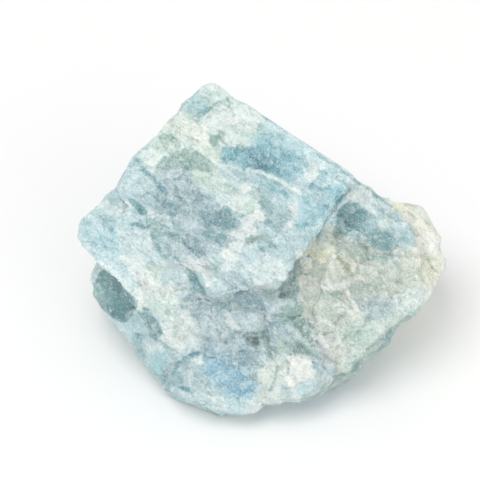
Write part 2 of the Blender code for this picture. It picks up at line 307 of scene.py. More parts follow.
# ---------------------------------------------------------------- colours
# Named colours of the stone as seen, in 0-255 steps of red, green and blue.
MILK = (232, 240, 237)
WARM_WHITE = (232, 237, 228)
PINK_WHITE = (229, 232, 231)
ICE = (203, 225, 229)
ICE_GREY = (190, 212, 216)
CYAN = (168, 204, 210)
SKY = (146, 197, 212)
BLUE = (136, 180, 198)
DEEP = (94, 146, 160)
TEAL = (126, 165, 170)
DARK_TEAL = (80, 126, 130)
LILAC = (175, 194, 198)
LILAC_DARK = (150, 175, 181)
SAGE = (158, 183, 177)
SAGE_PALE = (196, 212, 200)
MINT = (212, 229, 221)
CREAM = (233, 232, 218)
CREAM_YELLOW = (240, 237, 206)
TAN = (210, 210, 198)
SHADE = (98, 124, 126)
OLIVE = (138, 148, 122)
PALE_CYAN = (180, 214, 222)
HOLLOW_BLUE = (134, 182, 192)
TEAL_BLUE = (112, 156, 168)
BLUE_GREY = (134, 164, 175)
SAGE_BLUE = (156, 184, 186)
LILAC_ICE = (202, 217, 224)
SAGE_DARK = (134, 160, 156)
BRIGHT = (244, 245, 240)
FELDSPAR_LIGHT = (246, 244, 224)
MIST = (180, 204, 208)
DUSK = (120, 150, 158)
ASH = (184, 197, 189)

# Patches of the broad side, painted one over another. Each has a name, a colour, its strength,
# how soft its border is (pixels), how ragged (0 to 1), how far it stands proud (millimetres,
# less than 0 where it is sunk), and its corners as pixels of the photograph.
PATCHES = [
    # wide zones
    ("slab", ICE_GREY, 1.0, 10, 1, 0.0,
     [(70, 60), (330, 60), (400, 190), (300, 270), (200, 310), (70, 300)]),
    ("slab top", MINT, 0.9, 7, 1, 0.0,
     [(136, 164), (168, 124), (198, 90), (216, 80), (300, 134), (272, 132), (250, 142),
      (225, 146), (226, 172), (200, 178), (156, 172)]),
    ("slab rim", ICE, 0.9, 5, 1, 0.0,
     [(262, 110), (330, 150), (356, 180), (318, 190), (300, 168), (302, 150), (280, 136),
      (262, 128)]),
    ("lilac middle", LILAC, 0.9, 8, 1, 0.0,
     [(150, 190), (166, 162), (190, 168), (200, 188), (215, 202), (240, 214), (234, 245),
      (205, 262), (170, 264), (158, 245), (150, 222)]),
    ("lower face", LILAC, 0.95, 7, 1, 0.0,
     [(185, 285), (215, 298), (255, 288), (290, 290), (300, 330), (285, 352), (200, 356),
      (192, 330), (185, 310)]),
    ("left corner", ICE, 0.95, 6, 1, 0.0,
     [(70, 225), (100, 195), (130, 196), (150, 226), (128, 232), (126, 262), (122, 290),
      (100, 270)]),
    ("left white", MILK, 0.85, 5, 1, 0.0,
     [(112, 268), (124, 252), (124, 230), (148, 229), (156, 246), (152, 264), (186, 264),
      (188, 280), (204, 292), (190, 310), (197, 345), (176, 352), (160, 342), (158, 322),
      (148, 308), (134, 300)]),
    ("right mass", TAN, 0.95, 6, 1, 0.0,
     [(300, 262), (335, 230), (360, 245), (440, 240), (440, 300), (350, 375), (330, 366),
      (313, 345), (300, 300)]),
    ("right face", MINT, 0.85, 8, 1, 0.0,
     [(345, 318), (372, 308), (388, 292), (440, 284), (430, 320), (360, 380), (340, 366),
      (352, 340)]),
    ("feldspar end", CREAM, 1.0, 3, 0.6, 0.0,
     [(382, 190), (455, 190), (455, 300), (428, 296), (414, 276), (412, 250), (417, 240),
      (402, 217)]),
    ("foot", ICE, 0.9, 6, 1, 0.0,
     [(180, 392), (250, 394), (262, 400), (262, 425), (205, 425), (175, 402)]),
    ("lower right edge", WARM_WHITE, 0.55, 4, 0.6, 0.0,
     [(248, 396), (290, 392), (325, 378), (345, 370), (352, 384), (300, 414), (252, 414)]),
    ("lower left side", ICE_GREY, 0.8, 6, 0.8, 0.0,
     [(92, 290), (124, 322), (146, 310), (158, 340), (150, 356), (172, 372), (205, 400),
      (200, 425), (80, 340)]),
    ("blue band", SKY, 0.8, 6, 1, 0.0,
     [(300, 204), (312, 184), (346, 182), (346, 196), (316, 238), (296, 234)]),

    # top corner
    ("corner white", MILK, 0.75, 3, 0.8, 0.0,
     [(199, 80), (222, 80), (230, 96), (216, 104), (209, 105), (206, 97), (197, 94)]),
    ("corner facet", PALE_CYAN, 0.5, 1.2, 0.3, -0.02,
     [(185, 105), (190, 98), (197, 95), (206, 97), (208, 104), (204, 109), (196, 113),
      (188, 114)]),
    ("corner speck", PINK_WHITE, 1.0, 1.2, 0.4, 0.05,
     [(191, 115), (198, 116), (198, 120), (192, 119)]),
    ("corner crack", TEAL_BLUE, 0.6, 1.2, 0.15, -0.04,
     [(192, 117), (203, 108), (211, 106), (208, 112), (199, 119)]),
    ("corner crumb", SAGE, 0.3, 1.5, 0.6, 0.0,
     [(194, 119), (201, 119), (199, 126), (194, 124)]),
    ("cream vein", WARM_WHITE, 0.9, 2.5, 0.8, 0.05,
     [(164, 129), (182, 107), (190, 114), (194, 122), (207, 128), (209, 140), (206, 152),
      (197, 151), (184, 142), (174, 132)]),
    ("cream vein end", WARM_WHITE, 0.3, 2.5, 0.9, 0.04,
     [(206, 150), (213, 150), (220, 158), (225, 169), (217, 170), (209, 160)]),
    ("top white", MILK, 0.9, 2.5, 0.9, 0.08,
     [(200, 122), (212, 113), (224, 105), (250, 106), (259, 116), (258, 130), (246, 142),
      (230, 146), (222, 137), (208, 130)]),
    ("top cream", MILK, 0.8, 3, 0.9, 0.0,
     [(222, 112), (238, 108), (256, 114), (256, 126), (240, 128), (224, 128)]),
    ("top bright", BRIGHT, 0.95, 2, 0.8, 0.05,
     [(223, 118), (236, 115), (239, 122), (228, 127)]),
    ("top ice", MILK, 0.5, 3, 0.8, 0.0,
     [(203, 125), (215, 112), (222, 116), (220, 127), (211, 130)]),
    ("top mint", MINT, 0.8, 4, 1, 0.0,
     [(238, 128), (256, 128), (252, 140), (238, 146), (230, 142)]),
    ("sage knot", SAGE, 1.0, 1.4, 0.5, -0.05,
     [(209, 134), (214, 134), (219, 140), (220, 147), (213, 148), (208, 142)]),
    ("sage knot two", SAGE, 0.6, 1.8, 0.8, -0.02,
     [(217, 132), (225, 131), (225, 137), (219, 139)]),
    ("white gap", MILK, 0.8, 2, 0.8, 0.0,
     [(219, 140), (226, 142), (224, 150), (219, 148)]),

    # upper left edge
    ("left edge sage", SAGE_PALE, 0.65, 3, 1, 0.0,
     [(150, 146), (164, 130), (174, 136), (182, 146), (172, 150), (158, 150)]),
    ("left edge white", MILK, 0.6, 2.5, 1, 0.05,
     [(137, 156), (148, 147), (163, 150), (158, 158), (150, 168), (141, 162)]),
    ("sage streak", SAGE, 0.25, 2, 0.9, -0.02,
     [(166, 131), (174, 133), (181, 141), (178, 149), (170, 144)]),
    ("left edge teal", TEAL, 0.65, 1.8, 0.7, -0.02,
     [(130, 168), (137, 158), (143, 161), (139, 166), (133, 170)]),
    ("left rim", TEAL, 0.6, 2, 0.4, 0.0,
     [(110, 194), (116, 174), (126, 166), (128, 172), (119, 188)]),
    ("left pale", MIST, 0.95, 4, 1, 0.0,
     [(118, 186), (128, 170), (142, 167), (152, 180), (160, 192), (158, 204), (134, 200),
      (118, 196)]),
    ("left pale spot", ICE, 0.5, 3, 0.9, 0.03,
     [(122, 180), (130, 168), (140, 168), (142, 176), (130, 184)]),
    ("grey by the streak", SAGE_BLUE, 0.4, 3, 1, 0.0,
     [(138, 178), (148, 180), (150, 194), (140, 194)]),
    ("sage field", SAGE, 0.95, 1.4, 0.5, -0.03,
     [(156, 171), (159, 160), (166, 154), (180, 149), (190, 150), (202, 156), (214, 163),
      (223, 173), (204, 173), (190, 170), (172, 168), (162, 174)]),
    ("sage field edge", MILK, 0.8, 1.2, 0.5, 0.05,
     [(150, 171), (155, 160), (159, 157), (157, 165), (153, 172)]),
    ("mottled", LILAC_DARK, 0.55, 4, 1, 0.0,
     [(160, 172), (170, 163), (186, 164), (190, 176), (182, 186), (166, 184)]),
    ("pale stroke", SAGE_PALE, 0.7, 3, 0.9, 0.04,
     [(188, 176), (204, 173), (222, 178), (234, 187), (226, 193), (208, 190), (194, 186)]),
    ("lilac shade", LILAC_DARK, 0.95, 4, 1, -0.03,
     [(158, 194), (172, 186), (190, 190), (204, 195), (206, 205), (192, 212), (172, 216),
      (158, 208)]),
    ("blue strokes", BLUE_GREY, 0.8, 2.2, 0.9, -0.02,
     [(164, 198), (172, 199), (178, 212), (170, 216), (165, 207)]),
    ("grey stroke", LILAC_DARK, 0.7, 2.5, 0.9, 0.0,
     [(176, 206), (200, 214), (202, 226), (190, 226), (178, 216)]),

    # blue hollow of the slab
    ("hollow mist", PALE_CYAN, 0.6, 5, 1, 0.0,
     [(248, 140), (262, 130), (278, 130), (296, 142), (306, 152), (306, 168), (270, 150)]),
    ("blue hollow", HOLLOW_BLUE, 0.9, 3.5, 0.7, -0.03,
     [(220, 156), (228, 149), (240, 145), (256, 146), (264, 140), (278, 143), (292, 150),
      (300, 160), (310, 165), (302, 171), (290, 178), (279, 181), (268, 174), (256, 171),
      (246, 168), (234, 166), (224, 163)]),
    ("hollow dark", TEAL_BLUE, 0.6, 4, 0.8, -0.02,
     [(250, 153), (262, 153), (276, 156), (286, 162), (278, 170), (268, 173), (254, 169)]),
    ("hollow deep", DEEP, 0.9, 2.5, 0.8, -0.02,
     [(254, 160), (260, 156), (270, 158), (273, 166), (268, 173), (260, 170)]),
    ("pale under the hollow", PALE_CYAN, 0.6, 2.5, 1, 0.0,
     [(280, 168), (294, 166), (296, 176), (284, 180)]),
    ("mint patch", MILK, 0.75, 2, 0.8, 0.05,
     [(304, 166), (311, 159), (325, 163), (321, 173), (312, 181), (306, 178)]),
    ("cyan by the edge", ICE, 0.75, 3, 0.8, 0.0,
     [(322, 168), (332, 162), (346, 176), (340, 186), (322, 182)]),
    ("sage by the edge", CYAN, 0.8, 2, 0.7, 0.0,
     [(317, 177), (322, 170), (330, 172), (326, 181), (319, 184)]),
    ("teal by the edge", TEAL_BLUE, 0.6, 2, 0.8, -0.02,
     [(314, 186), (326, 183), (328, 192), (318, 194)]),
    ("blue in the band", SKY, 0.35, 3, 0.8, 0.0,
     [(322, 190), (338, 188), (336, 200), (326, 212), (318, 200)]),
    ("pale in the band", ICE, 0.8, 2.5, 0.9, 0.0,
     [(304, 193), (316, 190), (330, 192), (330, 202), (318, 206), (308, 206)]),
    ("under the ledge", CYAN, 0.75, 2.5, 0.9, -0.02,
     [(253, 176), (264, 177), (278, 183), (290, 192), (296, 200), (284, 198), (268, 192),
      (256, 186)]),
    ("teal chips", TEAL_BLUE, 0.55, 2, 0.9, -0.02,
     [(280, 192), (288, 190), (294, 200), (286, 201)]),
    ("pink chip", PINK_WHITE, 0.9, 1.8, 0.8, 0.06,
     [(239, 184), (249, 181), (250, 187), (243, 194), (238, 190)]),
    ("white tail", MILK, 0.5, 2.2, 0.8, 0.05,
     [(226, 170), (232, 172), (242, 184), (238, 190), (232, 182)]),
    ("grey by the tail", SAGE_BLUE, 0.5, 2.5, 1, 0.0,
     [(233, 169), (246, 170), (249, 181), (238, 181)]),
    ("middle cream", WARM_WHITE, 0.6, 3.5, 1, 0.05,
     [(226, 198), (238, 192), (252, 200), (264, 208), (258, 216), (242, 212), (232, 208)]),
    ("middle mint", MINT, 0.8, 3.5, 1, 0.0,
     [(242, 204), (260, 204), (266, 212), (256, 222), (244, 216)]),
    ("sage crumbs", SAGE, 0.6, 3, 1, -0.02,
     [(246, 190), (258, 186), (270, 198), (260, 203), (250, 198)]),
    ("middle pale", MILK, 0.4, 2.5, 1, 0.03,
     [(206, 192), (216, 188), (230, 196), (224, 204), (212, 198)]),

    # middle of the slab
    ("teal eye", TEAL, 0.95, 2, 0.9, -0.05,
     [(197, 216), (206, 212), (218, 212), (223, 206), (231, 208), (237, 217), (232, 226),
      (228, 235), (222, 241), (210, 240), (200, 232), (204, 224)]),
    ("teal eye deep", DUSK, 0.9, 2.5, 0.9, -0.02,
     [(200, 218), (210, 214), (222, 213), (232, 215), (226, 222), (224, 230), (212, 234),
      (203, 228)]),
    ("cream diagonal", BRIGHT, 0.75, 2.5, 1, 0.08,
     [(229, 240), (237, 228), (246, 216), (260, 209), (266, 218), (258, 231), (248, 240),
      (244, 252), (238, 264), (226, 260)]),
    ("sage pocket", SAGE, 0.5, 2, 0.8, -0.04,
     [(245, 244), (252, 238), (262, 232), (272, 237), (264, 241), (252, 246)]),
    ("sage pocket dark", SHADE, 0.6, 1.5, 0.8, -0.02,
     [(244, 245), (249, 240), (255, 239), (251, 245)]),
    ("sage pocket spark", WARM_WHITE, 1.0, 1.2, 0.7, 0.04,
     [(249, 247), (256, 243), (261, 244), (257, 251)]),
    ("teal right of middle", SAGE_BLUE, 0.9, 3, 0.9, -0.02,
     [(264, 206), (274, 200), (290, 206), (289, 214), (282, 230), (272, 231), (266, 220)]),
    ("pink wedge", PINK_WHITE, 0.85, 2, 0.9, 0.05,
     [(290, 205), (297, 203), (304, 212), (296, 217), (289, 232), (283, 232), (292, 218)]),
    ("cyan right of middle", CYAN, 0.8, 3, 0.9, 0.0,
     [(298, 204), (316, 204), (322, 222), (310, 232), (296, 228), (300, 216)]),
    ("blue dashes", HOLLOW_BLUE, 0.95, 2, 0.8, -0.02,
     [(294, 226), (304, 221), (316, 224), (312, 230), (298, 230)]),
    ("ice by the corner", MIST, 0.7, 3, 0.9, 0.0,
     [(290, 233), (312, 231), (316, 238), (302, 250), (290, 246)]),
    ("ice tip", ICE_GREY, 0.8, 5, 1, 0.0,
     [(240, 254), (262, 248), (296, 246), (302, 252), (294, 268), (282, 286), (262, 284),
      (242, 276)]),
    ("white tip", MILK, 0.75, 4, 1, 0.05,
     [(246, 262), (280, 260), (290, 266), (278, 283), (260, 280)]),
    ("teal dot", TEAL, 0.7, 1.8, 0.6, -0.02,
     [(257, 247), (264, 246), (266, 252), (259, 252)]),
    ("teal dot two", TEAL, 0.85, 2, 0.8, -0.02,
     [(266, 240), (273, 241), (278, 249), (269, 248)]),
    ("white left of tip", PINK_WHITE, 0.8, 2.5, 1, 0.08,
     [(186, 258), (198, 255), (208, 262), (216, 276), (212, 284), (204, 286), (198, 272),
      (188, 270)]),
    ("white over tip", MILK, 0.6, 3, 1, 0.0,
     [(216, 262), (232, 262), (244, 270), (238, 276), (222, 272)]),
    ("sage by the white", SAGE, 0.6, 2.2, 0.9, -0.02,
     [(204, 266), (212, 262), (221, 267), (212, 271)]),
    # lilac under tip: the stone's lilac with painted shade near the slab's lower edge
    ("lilac under tip", LILAC_DARK, 0.75, 3, 1, -0.01,
     [(218, 276), (236, 270), (248, 282), (244, 292), (226, 290)]),
    ("tip lower rim", PINK_WHITE, 0.6, 2, 0.8, 0.0,
     [(250, 284), (262, 280), (277, 287), (270, 291), (256, 289)]),
    ("warm vein", PINK_WHITE, 0.35, 3, 1, 0.0,
     [(240, 214), (252, 208), (262, 213), (258, 224), (246, 236), (240, 250), (230, 262),
      (224, 258), (232, 240)]),

    # left corner
    ("lilac triangle", MILK, 0.75, 1.6, 0.5, 0.08,
     [(108, 209), (118, 203), (129, 201), (137, 208), (142, 215), (134, 221), (122, 216)]),
    ("triangle side", PALE_CYAN, 0.7, 1.8, 0.5, 0.0,
     [(130, 208), (136, 207), (142, 215), (134, 220), (130, 214)]),
    ("dark wedge", TEAL, 1.0, 1.2, 0.15, -0.03,
     [(125, 197), (133, 198), (141, 204), (148, 213), (141, 216), (134, 207)]),
    ("dark triangle", TEAL, 0.75, 1.2, 0.15, -0.03,
     [(128, 225), (138, 221), (149, 215), (153, 222), (152, 229)]),
    ("white bridge", MILK, 0.5, 1.8, 0.8, 0.06,
     [(140, 216), (149, 212), (159, 213), (160, 218), (148, 218), (142, 220)]),
    ("left teal one", TEAL, 0.45, 2.2, 0.9, -0.02,
     [(106, 198), (112, 194), (120, 199), (116, 205), (109, 206)]),
    ("left white one", MILK, 0.9, 2, 0.9, 0.03,
     [(98, 206), (106, 199), (110, 204), (103, 208)]),
    ("left white two", MILK, 0.6, 2.5, 0.9, 0.03,
     [(102, 206), (112, 204), (118, 212), (108, 216), (100, 212)]),
    ("left teal two", TEAL, 0.5, 2.2, 0.9, -0.02,
     [(105, 216), (112, 215), (116, 221), (108, 222)]),
    ("left cyan", PALE_CYAN, 0.95, 5, 1, 0.0,
     [(94, 230), (112, 226), (124, 238), (120, 252), (106, 254), (94, 244)]),
    ("left cyan two", CYAN, 0.7, 3, 0.8, 0.0,
     [(78, 232), (80, 220), (88, 222), (92, 230), (84, 238)]),
    ("left cyan three", CYAN, 0.5, 4, 1, 0.0,
     [(98, 240), (114, 238), (116, 250), (104, 252)]),
    ("grey in the corner", ICE_GREY, 0.7, 3, 1, 0.0,
     [(124, 234), (140, 230), (152, 238), (154, 252), (142, 262), (126, 256)]),
    ("teal field", SAGE_BLUE, 0.95, 3, 0.9, 0.0,
     [(150, 226), (160, 220), (174, 222), (180, 236), (188, 250), (186, 264), (170, 264),
      (160, 252), (155, 240)]),
    ("lilac strip", LILAC, 0.75, 3, 0.9, 0.0,
     [(170, 232), (178, 234), (188, 250), (186, 263), (174, 260), (168, 246)]),
    ("short shade", TEAL, 0.75, 1.8, 0.8, -0.04,
     [(153, 235), (158, 236), (163, 250), (168, 262), (162, 260), (156, 248)]),
    ("pale flecks", LILAC_ICE, 0.4, 2.5, 1, 0.04,
     [(184, 218), (196, 222), (202, 240), (196, 242), (188, 232)]),
    ("diagonal shade", DUSK, 0.6, 2.5, 1, -0.05,
     [(172, 220), (180, 222), (190, 231), (199, 241), (209, 251), (203, 257), (193, 253),
      (183, 244), (177, 234)]),
    ("diagonal end", DUSK, 0.7, 2.0, 0.8, -0.02,
     [(183, 243), (190, 243), (202, 252), (196, 254), (189, 250)]),
    ("dark wedge under white", TEAL, 1.0, 2, 1, -0.05,
     [(184, 271), (191, 268), (199, 279), (209, 291), (204, 294), (194, 290), (188, 281)]),
    ("lilac in white", ICE_GREY, 0.8, 4, 1, 0.0,
     [(160, 268), (182, 266), (186, 280), (176, 288), (162, 284)]),
    ("cream in white", TAN, 0.25, 4, 1, 0.0,
     [(148, 280), (162, 286), (186, 286), (190, 296), (170, 300), (152, 294)]),
    ("sage in white", SAGE_PALE, 0.6, 3, 1, 0.0,
     [(150, 262), (166, 262), (160, 274), (150, 280), (146, 270)]),
    ("mint in white", MINT, 0.8, 4, 1, 0.0,
     [(150, 302), (170, 298), (178, 304), (172, 314), (154, 312)]),
    ("bright in white", BRIGHT, 0.8, 3, 0.9, 0.04,
     [(134, 271), (149, 272), (154, 290), (150, 305), (140, 303), (136, 288)]),
    ("grey in white", LILAC_DARK, 0.55, 4, 1, 0.0,
     [(172, 280), (184, 280), (194, 292), (206, 306), (202, 322), (192, 318), (188, 304),
      (176, 296)]),
    ("warm in white", BRIGHT, 0.65, 4, 1, 0.0,
     [(172, 320), (186, 322), (192, 334), (184, 346), (172, 342)]),
    ("ice by the recess", ICE, 0.7, 3, 0.6, 0.0,
     [(102, 264), (112, 258), (130, 268), (140, 290), (134, 298), (118, 280)]),

    # recess and side at the lower left
    # recess floor: the stone's deep teal together with painted shadow under the slab's overhang
    ("recess floor", DARK_TEAL, 0.8, 1.0, 0.0, 0.0,
     [(103, 269), (108, 271), (115, 277), (124, 288), (138, 301), (136, 311), (131, 319),
      (124, 323), (112, 318), (100, 306), (92, 292), (94, 280)]),
    ("recess pale", SAGE_BLUE, 0.45, 4, 0.3, 0.0,
     [(94, 282), (103, 271), (110, 276), (114, 290), (112, 306), (104, 302)]),
    ("recess light", SAGE_BLUE, 0.8, 2.5, 0.5, 0.0,
     [(92, 286), (98, 282), (104, 291), (107, 304), (101, 306), (94, 297)]),
    ("recess lobe", ICE_GREY, 0.95, 1.2, 0.2, 0.0,
     [(86, 270), (97, 262), (103, 268), (98, 275), (94, 284), (88, 280)]),
    ("side ice", BRIGHT, 0.8, 1.5, 0.5, 0.0,
     [(138, 301), (149, 304), (147, 310), (139, 314), (131, 321), (135, 312)]),
    ("side pale", CYAN, 0.6, 2, 0.8, 0.0,
     [(127, 320), (138, 312), (143, 324), (140, 334), (130, 330)]),
    ("side facet", TEAL, 0.95, 1.5, 1, -0.02,
     [(139, 312), (146, 309), (152, 313), (160, 327), (157, 338), (153, 342), (147, 337),
      (143, 326)]),
    ("side facet dark", SHADE, 0.3, 2, 1, 0.0,
     [(147, 318), (154, 318), (160, 328), (154, 334), (149, 328)]),
    ("side spot", TEAL_BLUE, 0.9, 1.5, 1, -0.02,
     [(133, 333), (139, 331), (142, 336), (138, 340)]),
    ("side low", TEAL, 0.6, 3, 1, 0.0,
     [(130, 338), (144, 340), (147, 362), (138, 358)]),
    ("side white", MILK, 0.6, 2.5, 0.9, 0.0,
     [(148, 344), (160, 346), (164, 352), (154, 356), (146, 352)]),
    ("blue bump", CYAN, 0.95, 2.2, 0.7, 0.1,
     [(150, 356), (160, 350), (168, 357), (166, 372), (156, 377), (149, 368)]),
    ("dark under bump", TEAL, 0.4, 2.2, 0.8, -0.02,
     [(158, 379), (172, 372), (180, 379), (172, 388), (164, 388)]),
    ("grey over the arch", LILAC_ICE, 0.7, 2.5, 0.9, 0.05,
     [(168, 362), (176, 354), (192, 348), (196, 353), (180, 362), (172, 372)]),
    ("under the arch", LILAC, 0.75, 3, 1, 0.0,
     [(176, 376), (190, 362), (204, 358), (208, 386), (190, 388)]),
    ("arch shade", TEAL, 0.7, 1.8, 0.6, -0.02,
     [(174, 372), (180, 371), (185, 384), (178, 382)]),
    ("dark dash", TEAL_BLUE, 1.0, 1.4, 0.5, -0.03,
     [(177, 386), (188, 387), (195, 391), (192, 394), (182, 391)]),
    ("edge sliver", DEEP, 0.3, 1.5, 0.4, 0.0,
     [(181, 398), (192, 402), (208, 404), (203, 412), (180, 406)]),
    ("white sparks", MILK, 1.0, 1.8, 0.7, 0.06,
     [(194, 359), (202, 356), (204, 364), (197, 367)]),

    # lower face
    ("white knot", LILAC_ICE, 0.3, 2.5, 1, 0.1,
     [(186, 338), (194, 335), (198, 342), (190, 347), (185, 344)]),
    ("blue shade", BLUE_GREY, 0.75, 3, 1, -0.02,
     [(238, 290), (250, 290), (262, 300), (262, 310), (246, 308), (236, 300)]),
    ("sage shade", SAGE, 0.5, 2.5, 1, 0.0,
     [(258, 290), (276, 290), (280, 298), (264, 300)]),
    ("pale lilac", LILAC_ICE, 0.6, 4, 1, 0.0,
     [(262, 304), (276, 299), (284, 304), (282, 314), (268, 318)]),
    ("dark flecks", TEAL, 0.45, 2, 1, -0.02,
     [(216, 308), (224, 304), (232, 310), (226, 314), (218, 314)]),
    ("pale ledge", PINK_WHITE, 0.85, 2, 0.9, 0.08,
     [(224, 312), (231, 312), (233, 321), (239, 327), (232, 330), (227, 322)]),
    ("pale ledge two", LILAC_ICE, 0.75, 3, 1, 0.04,
     [(232, 313), (252, 315), (256, 321), (246, 328), (236, 323)]),
    ("pale left", LILAC_ICE, 0.3, 4, 1, 0.0,
     [(198, 314), (216, 312), (220, 328), (212, 340), (198, 336)]),
    ("blue right", BLUE_GREY, 0.3, 4, 1, 0.0,
     [(256, 318), (278, 314), (288, 328), (278, 342), (262, 334)]),
    ("dark hole", SHADE, 1.0, 1.8, 1, -0.10,
     [(244, 335), (250, 330), (256, 331), (260, 338), (266, 342), (262, 347), (254, 345),
      (247, 341)]),
    ("dark hole side", SAGE_DARK, 0.95, 2, 1, -0.07,
     [(258, 338), (265, 334), (270, 337), (269, 343), (264, 346), (258, 343)]),
    ("below the hole", LILAC, 0.3, 3, 1, 0.0,
     [(254, 348), (264, 346), (276, 356), (266, 362), (256, 356)]),
    ("grey by the hole", LILAC_DARK, 0.75, 2.5, 1, -0.01,
     [(232, 334), (243, 335), (256, 347), (262, 356), (250, 360), (240, 352), (230, 344)]),
    ("hole tail", SAGE_DARK, 0.7, 2, 0.9, -0.02,
     [(262, 346), (270, 346), (276, 354), (270, 360)]),
    ("pale right", SAGE_PALE, 0.7, 3, 1, 0.0,
     [(274, 344), (288, 338), (294, 344), (286, 354), (276, 352)]),
    ("blue patch", BLUE, 0.95, 4, 1, -0.02,
     [(204, 360), (214, 354), (230, 348), (246, 350), (252, 362), (250, 378), (250, 396),
      (234, 398), (216, 384), (206, 374)]),
    ("blue patch clear", BLUE, 0.6, 4, 1, 0.0,
     [(214, 358), (230, 356), (246, 380), (248, 394), (234, 392), (222, 376)]),
    ("blue patch dark", BLUE_GREY, 0.95, 3, 1, -0.01,
     [(224, 352), (242, 346), (250, 356), (246, 368), (232, 370), (224, 364)]),
    ("blue patch lilac", LILAC_DARK, 0.9, 3, 1, 0.0,
     [(244, 350), (254, 350), (262, 356), (260, 372), (256, 382), (246, 374)]),
    ("white feathers", LILAC, 0.3, 2, 1, 0.03,
     [(218, 350), (226, 342), (240, 340), (242, 348), (234, 356), (222, 358)]),
    ("grey left", BLUE_GREY, 0.8, 3, 1, 0.0,
     [(200, 340), (214, 340), (222, 348), (212, 354), (200, 350)]),
    ("white rubble", WARM_WHITE, 0.85, 4, 1, 0.06,
     [(256, 366), (262, 358), (276, 354), (288, 358), (290, 372), (284, 386), (268, 390),
      (256, 382)]),
    ("bright block", BRIGHT, 1.0, 2.2, 0.9, 0.12,
     [(288, 362), (296, 355), (307, 359), (314, 372), (318, 384), (294, 388), (284, 380)]),
    ("foot ice", ICE, 0.9, 3, 0.8, 0.0,
     [(294, 390), (308, 384), (324, 378), (326, 384), (306, 398), (298, 398)]),
    ("foot white", MILK, 0.6, 4, 1, 0.0,
     [(204, 396), (222, 396), (228, 408), (212, 412)]),
    ("foot left", ICE, 0.7, 3, 1, 0.0,
     [(182, 394), (200, 396), (204, 406), (184, 402)]),
    ("foot rubble", WARM_WHITE, 0.7, 3, 1, 0.03,
     [(250, 392), (262, 386), (282, 388), (278, 398), (258, 400)]),

    # valley between the lower face and the right mass
    ("valley", SAGE, 0.9, 4, 1, -0.04,
     [(282, 304), (298, 298), (308, 318), (314, 340), (306, 354), (288, 356), (284, 344),
      (294, 332), (284, 324)]),
    ("valley dark", SAGE_DARK, 0.8, 2.5, 1, -0.02,
     [(292, 314), (304, 312), (312, 328), (302, 330), (292, 326)]),
    ("valley lilac", LILAC_ICE, 0.6, 3, 1, 0.0,
     [(284, 328), (298, 328), (300, 340), (288, 342)]),
    ("valley foot", SAGE_DARK, 0.95, 3, 1, 0.0,
     [(288, 346), (302, 342), (312, 349), (320, 356), (315, 362), (306, 360), (292, 356)]),
    ("valley brown", SAGE_DARK, 0.45, 1.8, 0.6, -0.04,
     [(305, 322), (311, 326), (315, 336), (320, 346), (312, 347), (307, 338)]),
    ("valley brown dark", SHADE, 0.6, 1.5, 0.6, -0.04,
     [(309, 336), (314, 337), (320, 346), (312, 347)]),
    ("valley brown top", SHADE, 0.3, 1.5, 0.8, -0.03,
     [(303, 318), (309, 319), (313, 328), (307, 328)]),
    ("valley grey", LILAC_ICE, 0.7, 4, 1, 0.0,
     [(314, 360), (328, 358), (338, 372), (322, 380), (314, 370)]),
    # pit slope and pit under the step: painted shade below the slab's step, over the stone's sage
    # colour
    ("pit slope", SAGE_DARK, 0.75, 3, 0.9, -0.02,
     [(281, 288), (294, 272), (302, 268), (300, 290), (294, 300), (280, 300)]),
    ("pit under the step", SHADE, 0.95, 1.4, 1, -0.08,
     [(280, 291), (284, 290), (287, 294), (285, 298), (281, 298)]),

    # right mass
    ("tan slope", TAN, 0.8, 4, 1, 0.05,
     [(300, 264), (314, 254), (326, 262), (318, 286), (306, 278)]),
    ("green slope", ASH, 0.4, 4, 1, 0.0,
     [(306, 270), (322, 264), (346, 276), (344, 286), (322, 286), (312, 282)]),
    ("cream slope", FELDSPAR_LIGHT, 0.95, 3, 0.9, 0.08,
     [(301, 261), (312, 248), (326, 235), (335, 236), (335, 247), (327, 258), (312, 265)]),
    ("pink slope", ASH, 0.6, 2.5, 0.8, 0.04,
     [(326, 238), (332, 229), (342, 234), (345, 250), (337, 254), (332, 246)]),
    # brown nick: a brownish painted shadow line along the crease at the top of the right mass
    ("brown nick", OLIVE, 0.7, 1.8, 0.8, -0.08,
     [(333, 251), (341, 255), (349, 266), (353, 276), (346, 272), (338, 262)]),
    ("ledge light", BRIGHT, 0.85, 1.8, 0.8, 0.08,
     [(308, 281), (326, 285), (346, 284), (354, 296), (346, 292), (328, 289), (314, 286)]),
    ("green face", ASH, 0.8, 4, 1, 0.0,
     [(306, 292), (346, 296), (354, 318), (330, 324), (312, 320), (304, 304)]),
    ("green face top", SAGE, 0.75, 2.5, 0.9, -0.02,
     [(316, 290), (332, 290), (344, 293), (336, 300), (320, 298)]),
    ("pale by the pit", WARM_WHITE, 0.55, 3, 1, 0.0,
     [(304, 276), (316, 278), (320, 292), (318, 304), (306, 306), (303, 290)]),
    ("cream edge", CREAM, 0.5, 2, 0.8, 0.04,
     [(305, 300), (316, 297), (325, 306), (316, 312), (306, 310)]),
    ("white chips", WARM_WHITE, 0.9, 1.6, 0.7, 0.08,
     [(351, 298), (357, 300), (358, 320), (344, 324), (342, 317), (351, 311)]),
    ("pink face", PINK_WHITE, 0.9, 2, 0.8, 0.05,
     [(310, 323), (325, 323), (338, 330), (342, 340), (342, 352), (331, 364), (320, 353),
      (314, 342)]),
    ("yellow face", OLIVE, 0.25, 3, 1, 0.0,
     [(316, 324), (332, 324), (334, 334), (322, 336)]),
    ("brown face", OLIVE, 0.3, 2.5, 1, -0.01,
     [(330, 344), (342, 346), (342, 358), (334, 356)]),
    ("sage slope", SAGE_PALE, 0.6, 4, 1, 0.0,
     [(342, 322), (360, 326), (362, 344), (350, 352), (342, 344)]),
    ("lilac field", ASH, 0.6, 4, 1, 0.0,
     [(362, 284), (380, 284), (392, 294), (378, 300), (364, 298)]),
